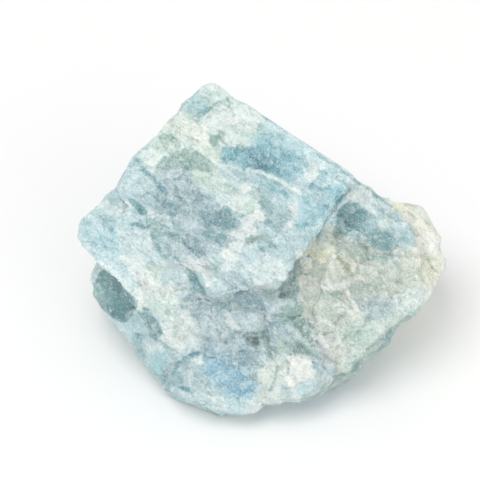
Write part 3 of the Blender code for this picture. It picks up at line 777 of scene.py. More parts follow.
    ("blue field", LILAC, 0.75, 4, 1, 0.0,
     [(358, 296), (384, 298), (398, 302), (390, 314), (368, 322), (358, 316)]),
    ("grey crumbs", SAGE, 0.5, 2.5, 1, -0.02,
     [(348, 288), (358, 281), (372, 283), (362, 290), (354, 294)]),
    ("teal crumbs", SAGE_BLUE, 0.7, 1.8, 1, -0.02,
     [(390, 296), (397, 296), (397, 300), (391, 300)]),
    ("mint end", MILK, 0.9, 4, 1, 0.0,
     [(396, 296), (430, 288), (430, 300), (408, 312), (396, 306)]),
    ("green cream", SAGE_PALE, 0.4, 5, 1, 0.0,
     [(392, 272), (426, 264), (428, 284), (400, 290)]),
    ("lilac shelf", ASH, 0.9, 3, 0.9, 0.0,
     [(346, 242), (356, 239), (368, 244), (392, 256), (388, 264), (354, 260), (345, 251)]),
    ("brown shelf", OLIVE, 0.3, 3, 1, 0.0,
     [(342, 250), (356, 250), (358, 262), (348, 266)]),
    ("grey shelf", ASH, 0.6, 4, 1, 0.0,
     [(360, 264), (386, 268), (394, 280), (388, 290), (372, 284), (360, 276)]),
    ("sage shelf", SAGE, 0.7, 2.5, 1, -0.02,
     [(366, 258), (382, 254), (398, 252), (396, 262), (380, 266)]),
    ("crumb shelf", ICE_GREY, 0.5, 2.5, 1, 0.03,
     [(386, 262), (396, 258), (402, 266), (392, 270)]),
    ("grey by the crumbs", ASH, 0.6, 2.5, 1, 0.0,
     [(384, 268), (398, 264), (404, 274), (396, 282), (386, 280)]),
    ("white crumbs", BRIGHT, 0.6, 2, 1, 0.04,
     [(388, 204), (398, 201), (406, 208), (402, 219), (393, 214)]),
    ("feldspar stain", CREAM_YELLOW, 0.5, 3, 1, 0.0,
     [(411, 217), (422, 213), (430, 222), (424, 232), (414, 229)]),
    ("yellow shelf", SAGE_PALE, 0.6, 3.5, 1, 0.04,
     [(398, 256), (408, 248), (416, 246), (418, 268), (412, 276), (402, 268)]),
    ("right pale", MILK, 0.7, 2.5, 0.7, 0.0,
     [(344, 186), (354, 178), (366, 188), (396, 210), (392, 216), (378, 208), (366, 202),
      (350, 200)]),
    ("right sage", SAGE_BLUE, 0.4, 2.5, 0.8, 0.0,
     [(348, 186), (358, 184), (362, 190), (352, 196), (346, 194)]),
    ("right teal", TEAL, 0.9, 1.8, 0.2, -0.03,
     [(347, 204), (357, 202), (366, 211), (375, 217), (381, 228), (394, 233), (399, 246),
      (392, 252), (376, 249), (366, 241), (358, 238), (350, 236), (341, 235), (334, 228),
      (337, 214)]),
    ("right teal deep", DARK_TEAL, 0.2, 3, 0.6, -0.02,
     [(344, 212), (354, 205), (364, 214), (368, 226), (352, 226), (340, 222)]),
    ("right teal deep two", DARK_TEAL, 0.45, 3, 0.9, -0.02,
     [(370, 232), (384, 232), (394, 242), (388, 250), (374, 244)]),
    ("right crumbs", MILK, 0.8, 2, 1, 0.05,
     [(356, 230), (362, 231), (370, 241), (362, 241)]),
    ("right white", MILK, 0.9, 1.6, 0.8, 0.06,
     [(350, 198), (360, 195), (366, 201), (377, 214), (370, 213), (360, 205)]),
    ("right blue", MIST, 0.95, 3.5, 0.7, 0.0,
     [(384, 206), (396, 210), (416, 236), (417, 244), (406, 248), (396, 240), (386, 226)]),
    ("grey in the blue", SAGE_BLUE, 0.5, 2.5, 1, 0.0,
     [(388, 226), (402, 230), (404, 242), (392, 240)]),
    ("green seam", SAGE_PALE, 0.5, 2.2, 0.8, 0.03,
     [(378, 222), (388, 214), (396, 218), (388, 228), (382, 234)]),

    # step and strip
    ("strip", LILAC_ICE, 1.0, 1.2, 0.15, 0.0,
     [(345, 197), (351, 200), (345, 205), (338, 214), (332, 223), (328, 232), (323, 241),
      (316, 244), (321, 236), (326, 226), (331, 215), (338, 205)]),
    ("strip foot", WARM_WHITE, 0.9, 2, 0.4, 0.05,
     [(317, 243), (324, 231), (332, 226), (336, 231), (330, 240), (322, 247)]),
    ("green shade", WARM_WHITE, 0.9, 2, 0.5, 0.0,
     [(304, 252), (318, 240), (326, 240), (312, 254)]),

    # feldspar
    ("feldspar bright", FELDSPAR_LIGHT, 1.0, 3, 1, 0.04,
     [(386, 198), (402, 202), (404, 212), (392, 212)]),
    ("feldspar pink", PINK_WHITE, 0.4, 3, 1, 0.0,
     [(402, 214), (416, 218), (414, 232), (406, 224)]),
    ("feldspar green", SAGE_PALE, 0.4, 5, 1, 0.0,
     [(412, 206), (428, 208), (434, 224), (420, 226)]),
    ("feldspar white", BRIGHT, 0.7, 4, 1, 0.04,
     [(415, 236), (434, 234), (442, 250), (420, 256)]),
    ("feldspar rim", MILK, 0.7, 3, 0.8, 0.0,
     [(438, 238), (448, 244), (450, 268), (440, 262)]),
    ("feldspar low", FELDSPAR_LIGHT, 0.7, 4, 1, 0.0,
     [(420, 258), (442, 258), (438, 282), (424, 284)]),

    # dark band along the lower right
    ("moss side", TAN, 0.4, 3, 1, 0.0,
     [(318, 382), (346, 370), (372, 348), (394, 328), (399, 340), (352, 386), (322, 400)]),
    # these three: painted shade of the underside band that turns down and away, over the stone's
    # sage colour
    ("lower right band", SAGE, 0.8, 1.6, 0.2, 0.0,
     [(425, 303), (412, 311), (398, 320), (384, 332), (372, 344), (352, 364), (348, 376),
      (352, 396), (460, 320)]),
    ("lower right band dark", TEAL, 0.75, 2, 0.4, 0.0,
     [(402, 326), (388, 334), (376, 350), (398, 348)]),
    ("lower right sage", SAGE_DARK, 0.45, 2, 0.3, 0.0,
     [(300, 398), (314, 389), (332, 376), (352, 368), (352, 384), (322, 404), (296, 410)]),
]

# Narrow lines on top of the patches: name, colour, strength, half width (pixels), how far the
# line stands proud (millimetres), and its corners as pixels of the photograph.
STROKES = [
    ("corner rim", TEAL, 0.6, 1.6, 0.0, [(180, 110), (188, 100), (199, 90)]),
    ("dark streak", TEAL, 0.95, 4.0, -0.06,
     [(143, 171), (152, 178), (160, 187), (166, 194)]),
    ("corner crease", SAGE, 0.6, 3.0, -0.02, [(209, 109), (217, 103), (228, 99)]),
    ("dark streak core", TEAL_BLUE, 0.9, 3.2, -0.02, [(147, 173), (154, 181), (162, 189)]),
    ("upper rim", TEAL, 0.7, 1.8, 0.0, [(255, 110), (272, 121), (290, 132)]),
    ("upper rim two", TEAL, 0.7, 1.8, 0.0, [(318, 154), (338, 167), (356, 181), (392, 206)]),
    ("white ledge", MILK, 0.95, 2.4, 0.06,
     [(246, 170), (258, 171), (270, 176), (282, 183), (292, 190), (299, 192)]),
    ("white ledge two", MILK, 0.7, 1.8, 0.03, [(284, 185), (290, 196), (298, 202)]),
    ("white by the patch", MILK, 0.8, 1.8, 0.04, [(302, 166), (306, 173), (309, 182)]),
    ("white veins", MILK, 0.8, 1.6, 0.03, [(314, 184), (322, 187), (330, 183)]),
    # groove, groove dark and groove foot: painted shade in the crease along the slab's step
    ("groove", TEAL, 1.0, 3.6, 0.0,
     [(349, 190), (344, 197), (338, 204), (331, 214), (325, 225), (318, 235)]),
    ("groove dark", DEEP, 0.7, 1.8, 0.0,
     [(346, 194), (342, 199), (334, 209), (328, 219), (322, 230)]),
    ("face rim", PINK_WHITE, 0.8, 1.2, 0.06, [(325, 323), (336, 328), (340, 336), (335, 345)]),
    ("groove foot", TEAL, 0.7, 3.5, 0.0, [(331, 213), (326, 220), (320, 231)]),
    ("strip light", ICE, 0.8, 2.2, 0.0,
     [(336, 213), (330, 222), (326, 231), (321, 239)]),
    # step shade, step line and edge green: painted shadow along the foot of the slab's step,
    # greenish where it runs up the slab's edge
    ("step shade", SAGE_DARK, 0.8, 2.4, 0.0,
     [(281, 289), (290, 276), (297, 266), (303, 259)]),
    ("step line", SHADE, 0.8, 1.7, 0.0,
     [(279, 288), (288, 276), (295, 266), (301, 258)]),
    ("edge green", OLIVE, 0.2, 2.0, 0.0, [(302, 257), (311, 249), (320, 241)]),
    ("ridge", WARM_WHITE, 0.95, 3.0, 0.1,
     [(326, 321), (332, 326), (338, 333), (341, 338), (339, 344)]),
    # arch line: painted shade along the crease of the arch's ledge
    ("arch line", TEAL_BLUE, 0.9, 3.0, -0.04,
     [(173, 373), (177, 366), (186, 359), (198, 353)]),
    ("brown line", OLIVE, 0.3, 1.6, -0.02, [(160, 294), (176, 290), (192, 289)]),
    ("white feather", MILK, 0.35, 2.2, 0.04, [(216, 350), (222, 344), (224, 336)]),
    ("white feather two", MILK, 0.35, 2.2, 0.04, [(232, 356), (236, 348), (240, 344)]),
    ("block crack", SAGE, 0.9, 2.2, -0.04, [(279, 368), (276, 380), (271, 390)]),
    ("block crack two", SAGE, 0.7, 1.8, -0.02, [(284, 358), (290, 364), (288, 374)]),
    ("shade left of white", TEAL, 0.4, 2.0, -0.02, [(180, 305), (186, 309), (194, 311)]),
    ("recess edge", MILK, 0.7, 1.8, 0.0,
     [(101, 263), (111, 271), (122, 282), (136, 297)]),
    ("eye lash", MILK, 0.6, 1.8, 0.04, [(222, 204), (230, 206), (236, 214), (241, 222)]),
    ("pocket edge", OLIVE, 0.5, 1.6, -0.02, [(246, 245), (252, 241), (262, 236)]),
    ("foot shade", TEAL, 0.5, 2.0, 0.0, [(206, 409), (216, 415), (240, 416)]),
    ("feldspar fold", CREAM, 0.6, 7.0, 0.35, [(418, 250), (428, 262), (438, 271)]),
    # green rim: painted shade where the underside turns away along the lower edge
    ("green rim", SAGE_DARK, 0.5, 2.0, 0.0, [(262, 405), (285, 404), (304, 402), (320, 394)]),
]

# The sides and the back draw on these at random; one that stands twice is drawn more often.
BACK_PALETTE = [ICE_GREY, LILAC, CYAN, MINT, SAGE_PALE, MILK, LILAC_DARK, ICE, BLUE, WARM_WHITE,
                TEAL, ICE_GREY]
BACK_BENDS = [(2.4, 5.0), (0.8, 1.4)]   # how their borders bend: how far, size of the bends (mm)
BACK_CELLS = [              # size of the cells (mm), their shift and their share of the colour
    (7.0, (2.0, 9.0, 4.0), 0.6),
    (2.6, (13.0, 1.0, 6.0), 0.4),
]
PAINTED_FROM = (-0.10, 0.15)            # how far a surface looks at the camera, to be painted
FELDSPAR_FROM = (17.0, 19.5)            # millimetres to the right of the layout's zero
FELDSPAR_WAVE = (1.2, 3.0, np.array((3.0, 1.0, 8.0)))   # its border: height, size (mm), shift

BORDER_SOFTNESS = 0.8       # how soft the borders are, next to what the patches say
BORDER_BENDS = [(1.6, BEND_SHIFTS[:2]), (0.5, BEND_SHIFTS[1:])]     # size (mm), shifts
WIDE_PATCH = 26.0           # patches this wide or wider wander fully, smaller ones less
CHIP_PULLS = (0.06, 0.26, 0.45)         # how far the borders follow each size of chip
FEATHERS = [(1.0, 4.0), (0.5, 2.5)]     # streaks on the borders: width (mm), length (pixels)
FEATHER_STRETCH = 4.0
STROKE_RAGGED = 0.12
STROKE_CORE = 0.3           # share of a stroke's width that has its full colour


# ---------------------------------------------------------------- chips and plates
CHIPS = [                   # width (mm), height (mm), share of the tone, shift
    (4.6, 0.26, 0.25, np.array((9.0, 2.0, 5.0))),
    (2.3, 0.15, 0.30, np.array((1.0, 8.0, 3.0))),
    (1.1, 0.06, 0.25, np.array((6.0, 4.0, 7.0))),
]
CHIP_BENDS = [(0.22, 1.5), (0.08, 0.5)]         # how the chips' borders bend, as above
PLATE_COUNT = 2.4
PLATE_GRAINS = [(8.0, 0.60), (3.6, 0.34), (1.6, 0.20), (0.8, 0.12)]     # size (mm), share
PLATE_OFFSET = 50.0         # keeps the field above zero


def chip_layers(points):
    """For each size of chip: its height (-1 to 1), its tone, and the way to its middle (mm)."""
    bent = streaked(bent_places(points, CHIP_BENDS))
    layers = []
    for size, _, _, shift in CHIPS:
        centres, middles = cells(bent, size, shift)
        lean = np.stack([cell_chance(middles, salt) * 2.0 - 1.0 for salt in CHIP_SALTS], axis=1)
        inward = centres - bent
        height = -np.sum(inward * lean, axis=1) / size
        tone = cell_chance(middles, CHIP_SALTS[1]) * 2.0 - 1.0
        inward += ((GRAIN_STRETCH - 1.0) * (inward @ GRAIN_WAY))[:, None] * GRAIN_WAY
        layers.append((height, tone, inward))
    return layers


def plate_field(points):
    """Rises along the surface; at each whole number one thin broken plate ends and one begins."""
    bent = streaked(points)
    return PLATE_COUNT * sum(
        share * grain(bent, size, BEND_SHIFTS[2]) for size, share in PLATE_GRAINS)


# ---------------------------------------------------------------- where each colour goes
def zone_paint(points):
    """Colours of the sides and the back: uneven cells of the same stone, some milky."""
    bent = bent_places(points, BACK_BENDS)
    colours = np.zeros((len(points), 3))
    for size, shift, share in BACK_CELLS:
        middles = cells(bent, size, np.array(shift))[1]
        chance = cell_chance(middles, CHIP_SALTS[0])
        pick = np.minimum((chance * len(BACK_PALETTE)).astype(int), len(BACK_PALETTE) - 1)
        colours += share * np.array(BACK_PALETTE, dtype=float)[pick]
    return colours


def feldspar_share(points):
    """How much of each point is the cream feldspar grown on the right end."""
    across = (points - np.array(LAYOUT_ORIGIN) / MM) @ np.array(RIGHT)
    height, size, shift = FELDSPAR_WAVE
    return smoothstep(*FELDSPAR_FROM, across + height * grain(points, size, shift))


def border_wander(points, layers):
    """How far the patches' borders stray at each point, in pixels to the right and down."""
    wander = sum(grain_columns(points, size, shifts) for size, shifts in BORDER_BENDS)
    for (_, _, inward), share in zip(layers, CHIP_PULLS):
        across = np.stack([inward @ np.array(RIGHT), -inward @ np.array(UP)], axis=1)
        wander += share * across * MM / PHOTO_PIXEL
    along = np.array((GRAIN_WAY @ np.array(RIGHT), -GRAIN_WAY @ np.array(UP)))
    for size, length in FEATHERS:
        streaks = grain(streaked(points, FEATHER_STRETCH), size, BEND_SHIFTS[1])
        wander += length * streaks[:, None] * along
    return wander


def coats(pixels, wander):
    """Each patch and stroke in turn: its colour, how far it stands proud, and where it lies."""
    for _, colour, strength, soft, ragged, proud, corners in PATCHES:
        loose = ragged * min(1.0, patch_width(corners) / WIDE_PATCH)
        inside = outline_distance(pixels + loose * wander, corners)
        fade = soft * BORDER_SOFTNESS
        yield colour, proud, strength * smoothstep(-fade, fade, inside)
    for _, colour, strength, width, proud, corners in STROKES:
        gap = line_distance(pixels + STROKE_RAGGED * wander, corners)
        yield colour, proud, strength * smoothstep(width, STROKE_CORE * width, gap)


def paint(points, normals, layers):
    """Colour (0-255 steps) of each vertex, and how far its patch stands proud (mm)."""
    colours = np.tile(np.array(ICE_GREY, dtype=float), (len(points), 1))
    lift = np.zeros(len(points))
    for colour, proud, share in coats(photo_pixels(points), border_wander(points, layers)):
        colours += share[:, None] * (np.array(colour) - colours)
        lift += share * proud
    facing = facing_share(normals, *PAINTED_FROM)
    around = zone_paint(points)
    cream = feldspar_share(points)[:, None]
    around += cream * (np.array(CREAM) - around)
    return around + facing[:, None] * (colours - around), lift * facing


# ---------------------------------------------------------------- relief
PLATE_HEIGHT = 0.16         # millimetres
OWN_TONE = 0.6              # weight of a chip's own random tone beside the painted light and shade that its slope gives
ROUGH_HEIGHT = 0.03         # finest roughness, in millimetres, and the size of its lumps
ROUGH_SIZE = 0.45
CLEAR_ROUGH = 0.25          # roughness of clear stone; the milky stone's is 1 more
SMOOTH_CALM = 0.85          # share of the relief that the smooth faces lack
RIM_CALM = 0.45             # and that the rim of the outline lacks
RIM_FACING = (0.75, 0.35)   # how far a surface looks at the camera, where the rim begins and ends
REST_CALM = (0.1, 0.6)      # millimetres above the flat break, where the relief begins
SMOOTH_ALIGNED = (0.93, 0.98)           # how far a surface looks a smooth face's way
MILKY_FROM = (185.0, 236.0)             # red of the clear stone and of the milky stone
LEDGES = [                  # corners in pixels, step in millimetres, reach in pixels
    ([(335, 208), (319, 234), (311, 249), (299, 264), (289, 277), (279, 289)], -0.45, 12),
    ([(279, 289), (262, 285), (245, 289), (228, 296)], -0.40, 12),
    ([(244, 171), (262, 175), (283, 185), (300, 193)], 0.35, 9),
    ([(203, 133), (221, 131), (240, 148)], 0.15, 10),
    ([(296, 263), (304, 271), (311, 283), (322, 289), (348, 290)], 0.10, 10),
    ([(300, 286), (306, 304), (312, 322), (315, 342), (329, 363), (347, 368)], -0.40, 10),
    ([(170, 374), (178, 364), (188, 357), (200, 352)], -0.35, 9),
    ([(190, 271), (200, 284), (215, 297), (245, 290), (279, 288)], 0.25, 10),
    ([(318, 262), (334, 252), (352, 262), (380, 266), (402, 262)], -0.25, 9),
    ([(206, 352), (226, 350), (250, 350), (264, 362), (262, 384), (250, 398)], 0.30, 9),
]
LEDGE_SLOPE = 1.6           # pixels from the foot of a ledge to its top
LEDGE_WANDER = (2.0, 1.2)   # how far a ledge strays (pixels), size of its bends (mm)


def ledge(pixels, line, step, reach):
    """One side of a broken line stands proud by step and sinks back over reach pixels."""
    nearest = np.full(len(pixels), np.inf)
    side = np.zeros(len(pixels))
    for start, end in zip(line, line[1:]):
        run = np.array(end, dtype=float) - start
        offset = pixels - start
        gap = segment_gap(pixels, start, end)
        closer = gap < nearest
        across = (offset[:, 0] * run[1] - offset[:, 1] * run[0]) / np.hypot(*run)
        nearest = np.where(closer, gap, nearest)
        side = np.where(closer, across, side)
    ends = np.minimum(np.hypot(*(pixels - line[0]).T), np.hypot(*(pixels - line[-1]).T))
    rise = smoothstep(-LEDGE_SLOPE, LEDGE_SLOPE, side) * np.exp(-nearest / reach)
    return step * rise * smoothstep(0.0, reach, ends)


def smooth_share(normals):
    """1 on the crystal's own faces and on the cleaved floor, 0 on broken surfaces."""
    flat = [*CRYSTAL_FACES, CLEAVED_FLOOR]
    aligned = np.max([normals @ np.array(face) for face in flat], axis=0)
    return smoothstep(*SMOOTH_ALIGNED, aligned)


def relief(points, normals, layers, plates, milk, lift):
    """How far each vertex moves out along its normal, in millimetres, and its chips' tone: their
    random tones with painted light and shade along each chip's slope.
    """
    height = np.zeros(len(points))
    tone = np.zeros(len(points))
    for (chip, chip_tone, _), (_, tall, share, _) in zip(layers, CHIPS):
        height += tall * chip
        # a chip's slope (its height) goes into the tone as painted light and shade, beside its own
        # random tone
        tone += share * (chip + OWN_TONE * chip_tone)
    height += ROUGH_HEIGHT * (CLEAR_ROUGH + milk) * grain(points, ROUGH_SIZE, BEND_SHIFTS[1])
    height += PLATE_HEIGHT * (np.modf(plates)[0] - 0.5)
    rim = smoothstep(*RIM_FACING, np.abs(normals @ np.array(TOWARDS)))
    broken = (1.0 - SMOOTH_CALM * smooth_share(normals)) * (1.0 - RIM_CALM * rim)
    height *= broken
    height += lift
    strays, bend_size = LEDGE_WANDER
    strayed = photo_pixels(points) + strays * grain_columns(points, bend_size, BEND_SHIFTS[:2])
    facing = facing_share(normals, 0.0, 0.3)
    for line, step, reach in LEDGES:
        height += facing * ledge(strayed, line, step, reach)
    return height * smoothstep(*REST_CALM, points[:, 2]), tone * broken


# ---------------------------------------------------------------- the finished lump
HOLLOW_ROUNDS = 14          # how far around a vertex its depth is measured, in rounds of edges
HOLLOW_SHADE = 0.14         # how much darker the painted shade makes the hollows
HOLLOW_DEPTHS = (0.02, 0.22)            # millimetres
RIDGE_LIGHT = 0.35          # how much of the milky white the ridges have: partly the broken edges' own whiteness, partly painted highlight
RIDGE_HEIGHTS = (0.02, 0.16)            # millimetres
PALEST = 250.0
CHROMA = 1.16               # how much further the colours lie from grey than the named ones
CHROMA_MEAN = np.array((-11.0, 5.0, 6.0))       # the stone's mean colour, less its grey
TONE_STEP = (11.0, 8.0, 7.0)            # what a chip of the palest tone adds to its colour; the tone is part random, part painted light and shade along the chips' slopes


def hollowness(mesh, points, normals):
    """How far each vertex lies below (more than 0) the mean of what is around it."""
    ends = np.empty(len(mesh.edges) * 2, dtype=int)
    mesh.edges.foreach_get("vertices", ends)
    first, second = ends.reshape(-1, 2).T
    count = np.bincount(ends, minlength=len(points))
    mean = points.copy()
    for _ in range(HOLLOW_ROUNDS):
        total = np.zeros_like(mean)
        for axis in range(3):
            total[:, axis] = (np.bincount(first, mean[second, axis], len(points))
                              + np.bincount(second, mean[first, axis], len(points)))
        mean = 0.5 * mean + 0.5 * total / count[:, None]
    return np.sum((mean - points) * normals, axis=1)


def tones_and_painted_light(colours, tone, deep):
    """The painted colours with the chips' tones, painted shade in the hollows and milky ridges
    that are partly painted highlight.
    """
    colours = colours + tone[:, None] * np.array(TONE_STEP)
    # painted shade darkens the hollows; the ridges' milky white is partly the broken edges' own
    # whiteness and partly painted highlight
    colours = colours * (1.0 - HOLLOW_SHADE * smoothstep(*HOLLOW_DEPTHS, deep))[:, None]
    ridge = RIDGE_LIGHT * smoothstep(*RIDGE_HEIGHTS, -deep)[:, None]
    colours = np.clip(colours + ridge * (np.array(MILK) - colours), 0.0, PALEST)
    grey = colours.mean(axis=1, keepdims=True)
    return grey + CHROMA_MEAN + CHROMA * (colours - grey - CHROMA_MEAN)


def to_linear(colour):
    """A colour of 0-255 steps as the linear light that Blender's materials work in."""
    share = np.array(colour) / 255.0
    return np.where(share <= 0.04045, share / 12.92, ((share + 0.055) / 1.055) ** 2.4)


def store(mesh, name, values):
    attribute = mesh.attributes.new(name, "FLOAT", "POINT")
    attribute.data.foreach_set("value", values)


def store_colour(mesh, name, colours):
    attribute = mesh.attributes.new(name, "FLOAT_COLOR", "POINT")
    light = np.concatenate([to_linear(colours), np.ones((len(colours), 1))], axis=1)
    attribute.data.foreach_set("color", light.ravel())


def make_lump():
    lump = fine_copy()
    thin_out(lump)
    mesh = lump.data
    points = pull_into_place(vertex_points(mesh))
    points = flatten_floor(points, vertex_normals(mesh))
    move_vertices(mesh, points)
    normals = vertex_normals(mesh)
    layers = chip_layers(points)
    colours, lift = paint(points, normals, layers)
    milk = smoothstep(*MILKY_FROM, colours[:, 0])
    plates = plate_field(points) + PLATE_OFFSET
    height, tone = relief(points, normals, layers, plates, milk, lift)
    points = points + normals * height[:, None]
    move_vertices(mesh, points)
    normals = vertex_normals(mesh)
    colours = tones_and_painted_light(colours, tone, hollowness(mesh, points, normals))
    mesh.vertices.foreach_set("co", (points * MM).ravel())
    store_colour(mesh, "stone_colour", colours)
    store(mesh, "milk", milk)
    store(mesh, "plates", plates)
    store(mesh, "smooth_face", smooth_share(normals))
    mesh.shade_smooth()
    mesh.set_sharp_from_angle(angle=CRISP_ANGLE)
    return lump


# ---------------------------------------------------------------- material
FACETS = [                  # width in millimetres, share of the tone, shift
    (1.5, 0.6, (4.0, 9.0, 2.0)),
    (0.65, 0.4, (7.0, 1.0, 5.0)),
]
FACET_OWN_TONE = 1.2        # spread of the facets' own tones
FACET_WOBBLE = 0.5          # millimetres that their borders wobble
PLATE_RAGGED = 0.5          # how ragged the plates' ends are
HACKLES = [                 # the way the lines run, their shift and their mask's shift
    (GRAIN_WAY, (3.0, 8.0, 1.0), (9.0, 2.0, 7.0)),
    (np.array(RIGHT * 0.5 + UP * 0.87), (6.0, 1.0, 4.0), (2.0, 5.0, 3.0)),
]
HACKLE_SQUEEZE = 0.75       # how much the places are squeezed along the hackle lines
STREAK_SQUEEZE = 0.70       # and along the fine streaks

# Noises: lumps to a millimetre, detail, roughness and, for one, distortion.
FINE_NOISE = (3.6, 4.0, 0.65)
WOBBLE_NOISE = (2.2, 4.0, 0.7)
VEIL_NOISE = (0.45, 9.0, 0.70)
STREAK_NOISE = (2.6, 3.0, 0.6)
STREAKED_NOISE = (0.35, 3.0, 0.6)       # where the stone is streaked
HACKLE_NOISE = (0.9, 5.0, 0.55, 0.5)
HACKLED_NOISE = (0.22, 3.0, 0.6)        # where it has hackles

# Marks on the colour: the value where one begins, the value where it is full, its strength.
FACET_SHADE = (0.10, -0.60, 0.35)
FACET_LIGHT = (-0.10, 0.60, 0.33)
PLATE_SHADE = (0.50, 0.0, 0.18)
PLATE_LIGHT = (0.55, 1.0, 0.20)
VEIL_LIGHT = (0.50, 0.68, 0.50)
GRAIN_SHADE = (0.54, 0.28, 0.49)
GRAIN_LIGHT = (0.50, 0.72, 0.46)
STREAK_SHADE = (0.50, 0.34, 0.8)
STREAK_LIGHT = (0.50, 0.66, 0.8)
HACKLE_LIGHT = 0.22         # strengths alone
GLINT_LIGHT = 0.5
FACET_DARK = (175, 203, 206)            # the shades multiply the stone's colour by these
PLATE_DARK = (165, 198, 200)
GRAIN_DARK = (170, 190, 195)
STREAK_DARK = (0.70, 0.78, 0.80, 1.0)   # plain factors that a streak multiplies it by
STREAK_PALE = (1.20, 1.15, 1.14, 1.0)
HACKLE_WHITE = (240, 245, 243)
GLINT_WHITE = (250, 252, 250)

# Where things begin and where they are full.
MILKY_MARKS = (-0.6, 1.0)               # milk that the pale marks need
STREAKED = (0.40, 0.60, 0.25, 1.0)      # and how strong the streaks are there, at each end
HACKLED = (0.44, 0.56)
HACKLE_LINE = (0.022, 0.004)
HACKLE_STEP = (0.485, 0.515)
GLINTS_PER_MM = 2.0         # cells to a millimetre; a few of them have a glint
GLINT_CHANCE = (0.84, 0.86)
GLINT_SPOT = (0.26, 0.12)
SMOOTH_BARE = 0.8           # share of the marks that the smooth faces lack

# Parts of the height that the bump shows, beside the facets.
GRAIN_RISE = 0.25
HACKLE_RISE = 0.35
PLATE_RISE = 0.5
BUMP_DISTANCE = 0.22 * MM
BUMP_BROKEN = 0.40          # strength on broken surfaces, and how much less on smooth faces
BUMP_LESS = 0.30
ROUGH_CLEAR = 0.36          # roughness of clear stone, and how much more of milky stone
ROUGH_MORE = 0.22
BERYL_IOR = 1.57
SCATTER_SHARE = 0.30
SCATTER_DEPTH = 1.2 * MM


class Tree:
    """Short calls for building a node tree."""

    def __init__(self, material):
        self.nodes = material.node_tree.nodes
        self.links = material.node_tree.links
        self.nodes.clear()

    def feed(self, socket, value):
        """Links the socket to another one, or sets a plain value on it."""
        if isinstance(value, bpy.types.NodeSocket):
            self.links.new(value, socket)
        else:
            socket.default_value = value

    def add(self, kind, values=(), **settings):
        node = self.nodes.new(kind)
        for name, value in settings.items():
            setattr(node, name, value)
        for name, value in dict(values).items():
            self.feed(node.inputs[name], value)
        return node

    def attribute(self, name, output="Fac"):
        return self.add("ShaderNodeAttribute", attribute_name=name).outputs[output]

    def noise(self, place, scale, detail, roughness, distortion=0.0, output="Fac"):
        return self.add("ShaderNodeTexNoise", {
            "Vector": place, "Scale": scale, "Detail": detail, "Roughness": roughness,
            "Distortion": distortion}).outputs[output]

    def vector(self, operation, *values):
        node = self.add("ShaderNodeVectorMath", enumerate(values), operation=operation)
        return node.outputs["Value" if operation == "DOT_PRODUCT" else "Vector"]

    def scaled(self, place, factor):
        node = self.add("ShaderNodeVectorMath", {0: place, "Scale": factor}, operation="SCALE")
        return node.outputs["Vector"]

    def squeezed(self, place, way, share):
        """The places squeezed along one way, so that what is laid over them comes out longer."""
        along = self.math("MULTIPLY", self.vector("DOT_PRODUCT", place, way), share)
        return self.vector("SUBTRACT", place, self.scaled(way, along))

    def math(self, operation, *values):
        node = self.add("ShaderNodeMath", enumerate(values), operation=operation)
        return node.outputs["Value"]

    def blend(self, share, first, second, mode="MIX"):
        mix = self.add("ShaderNodeMix", {0: share, 6: first, 7: second}, data_type="RGBA",
                       blend_type=mode)
        return mix.outputs[2]

    def ramp(self, value, low, high, bottom=0.0, top=1.0):
        node = self.add("ShaderNodeMapRange", {
            "Value": value, "From Min": low, "From Max": high, "To Min": bottom, "To Max": top},
            interpolation_type="SMOOTHSTEP")
        return node.outputs["Result"]

    def mark(self, value, begins, full, strength):
        return self.ramp(value, begins, full, 0.0, strength)


def solid(colour):
    return (*to_linear(colour), 1.0)


def facets(tree, place, size, shift):
    """Tone and height of small flat chips, each leaning its own way; the tone is a random tone
    plus painted light and shade that follows each chip's lean.
    """
    moved = tree.vector("ADD", place, shift)
    chip = tree.add("ShaderNodeTexVoronoi", {"Vector": moved, "Scale": 1.0 / size})
    offset = tree.vector("SUBTRACT", moved, chip.outputs["Position"])
    lean = tree.vector("SUBTRACT", chip.outputs["Color"], (0.5,) * 3)
    slope = tree.vector("DOT_PRODUCT", offset, lean)
    height = tree.math("MULTIPLY", slope, 2.0 / size)
    chance = tree.add("ShaderNodeSeparateColor", {"Color": chip.outputs["Color"]})
    own_tone = tree.math("MULTIPLY_ADD", chance.outputs["Green"], FACET_OWN_TONE,
                         -FACET_OWN_TONE / 2.0)
    return tree.math("ADD", own_tone, height), height


def all_facets(tree, place):
    """Tone and height of the facets of every size together."""
    tones = []
    heights = []
    for size, share, shift in FACETS:
        tone, height = facets(tree, place, size, shift)
        tones.append(tree.math("MULTIPLY", tone, share))
        heights.append(tree.math("MULTIPLY", height, size))
    return tree.math("ADD", *tones), tree.math("ADD", *heights)


def hackle(tree, place, way, shift, mask_shift):
    """Fine broken lines that run one way: their whiteness and their step."""
    drawn = tree.squeezed(place, way, HACKLE_SQUEEZE)
    field = tree.noise(tree.vector("ADD", drawn, shift), *HACKLE_NOISE)
    where = tree.noise(tree.vector("ADD", place, mask_shift), *HACKLED_NOISE)
    mask = tree.ramp(where, *HACKLED)
    gap = tree.math("ABSOLUTE", tree.math("SUBTRACT", field, 0.5))
    line = tree.math("MULTIPLY", tree.ramp(gap, *HACKLE_LINE), mask)
    step = tree.math("MULTIPLY", tree.ramp(field, *HACKLE_STEP), mask)
    return line, step


def glints(tree, place):
    """Sparse round painted glints, specks of painted highlight, one in about seven of the cells.
    """
    cell = tree.add("ShaderNodeTexVoronoi", {"Vector": place, "Scale": GLINTS_PER_MM})
    chance = tree.add("ShaderNodeSeparateColor", {"Color": cell.outputs["Color"]})
    chosen = tree.ramp(chance.outputs["Red"], *GLINT_CHANCE)
    return tree.math("MULTIPLY", chosen, tree.ramp(cell.outputs["Distance"], *GLINT_SPOT))


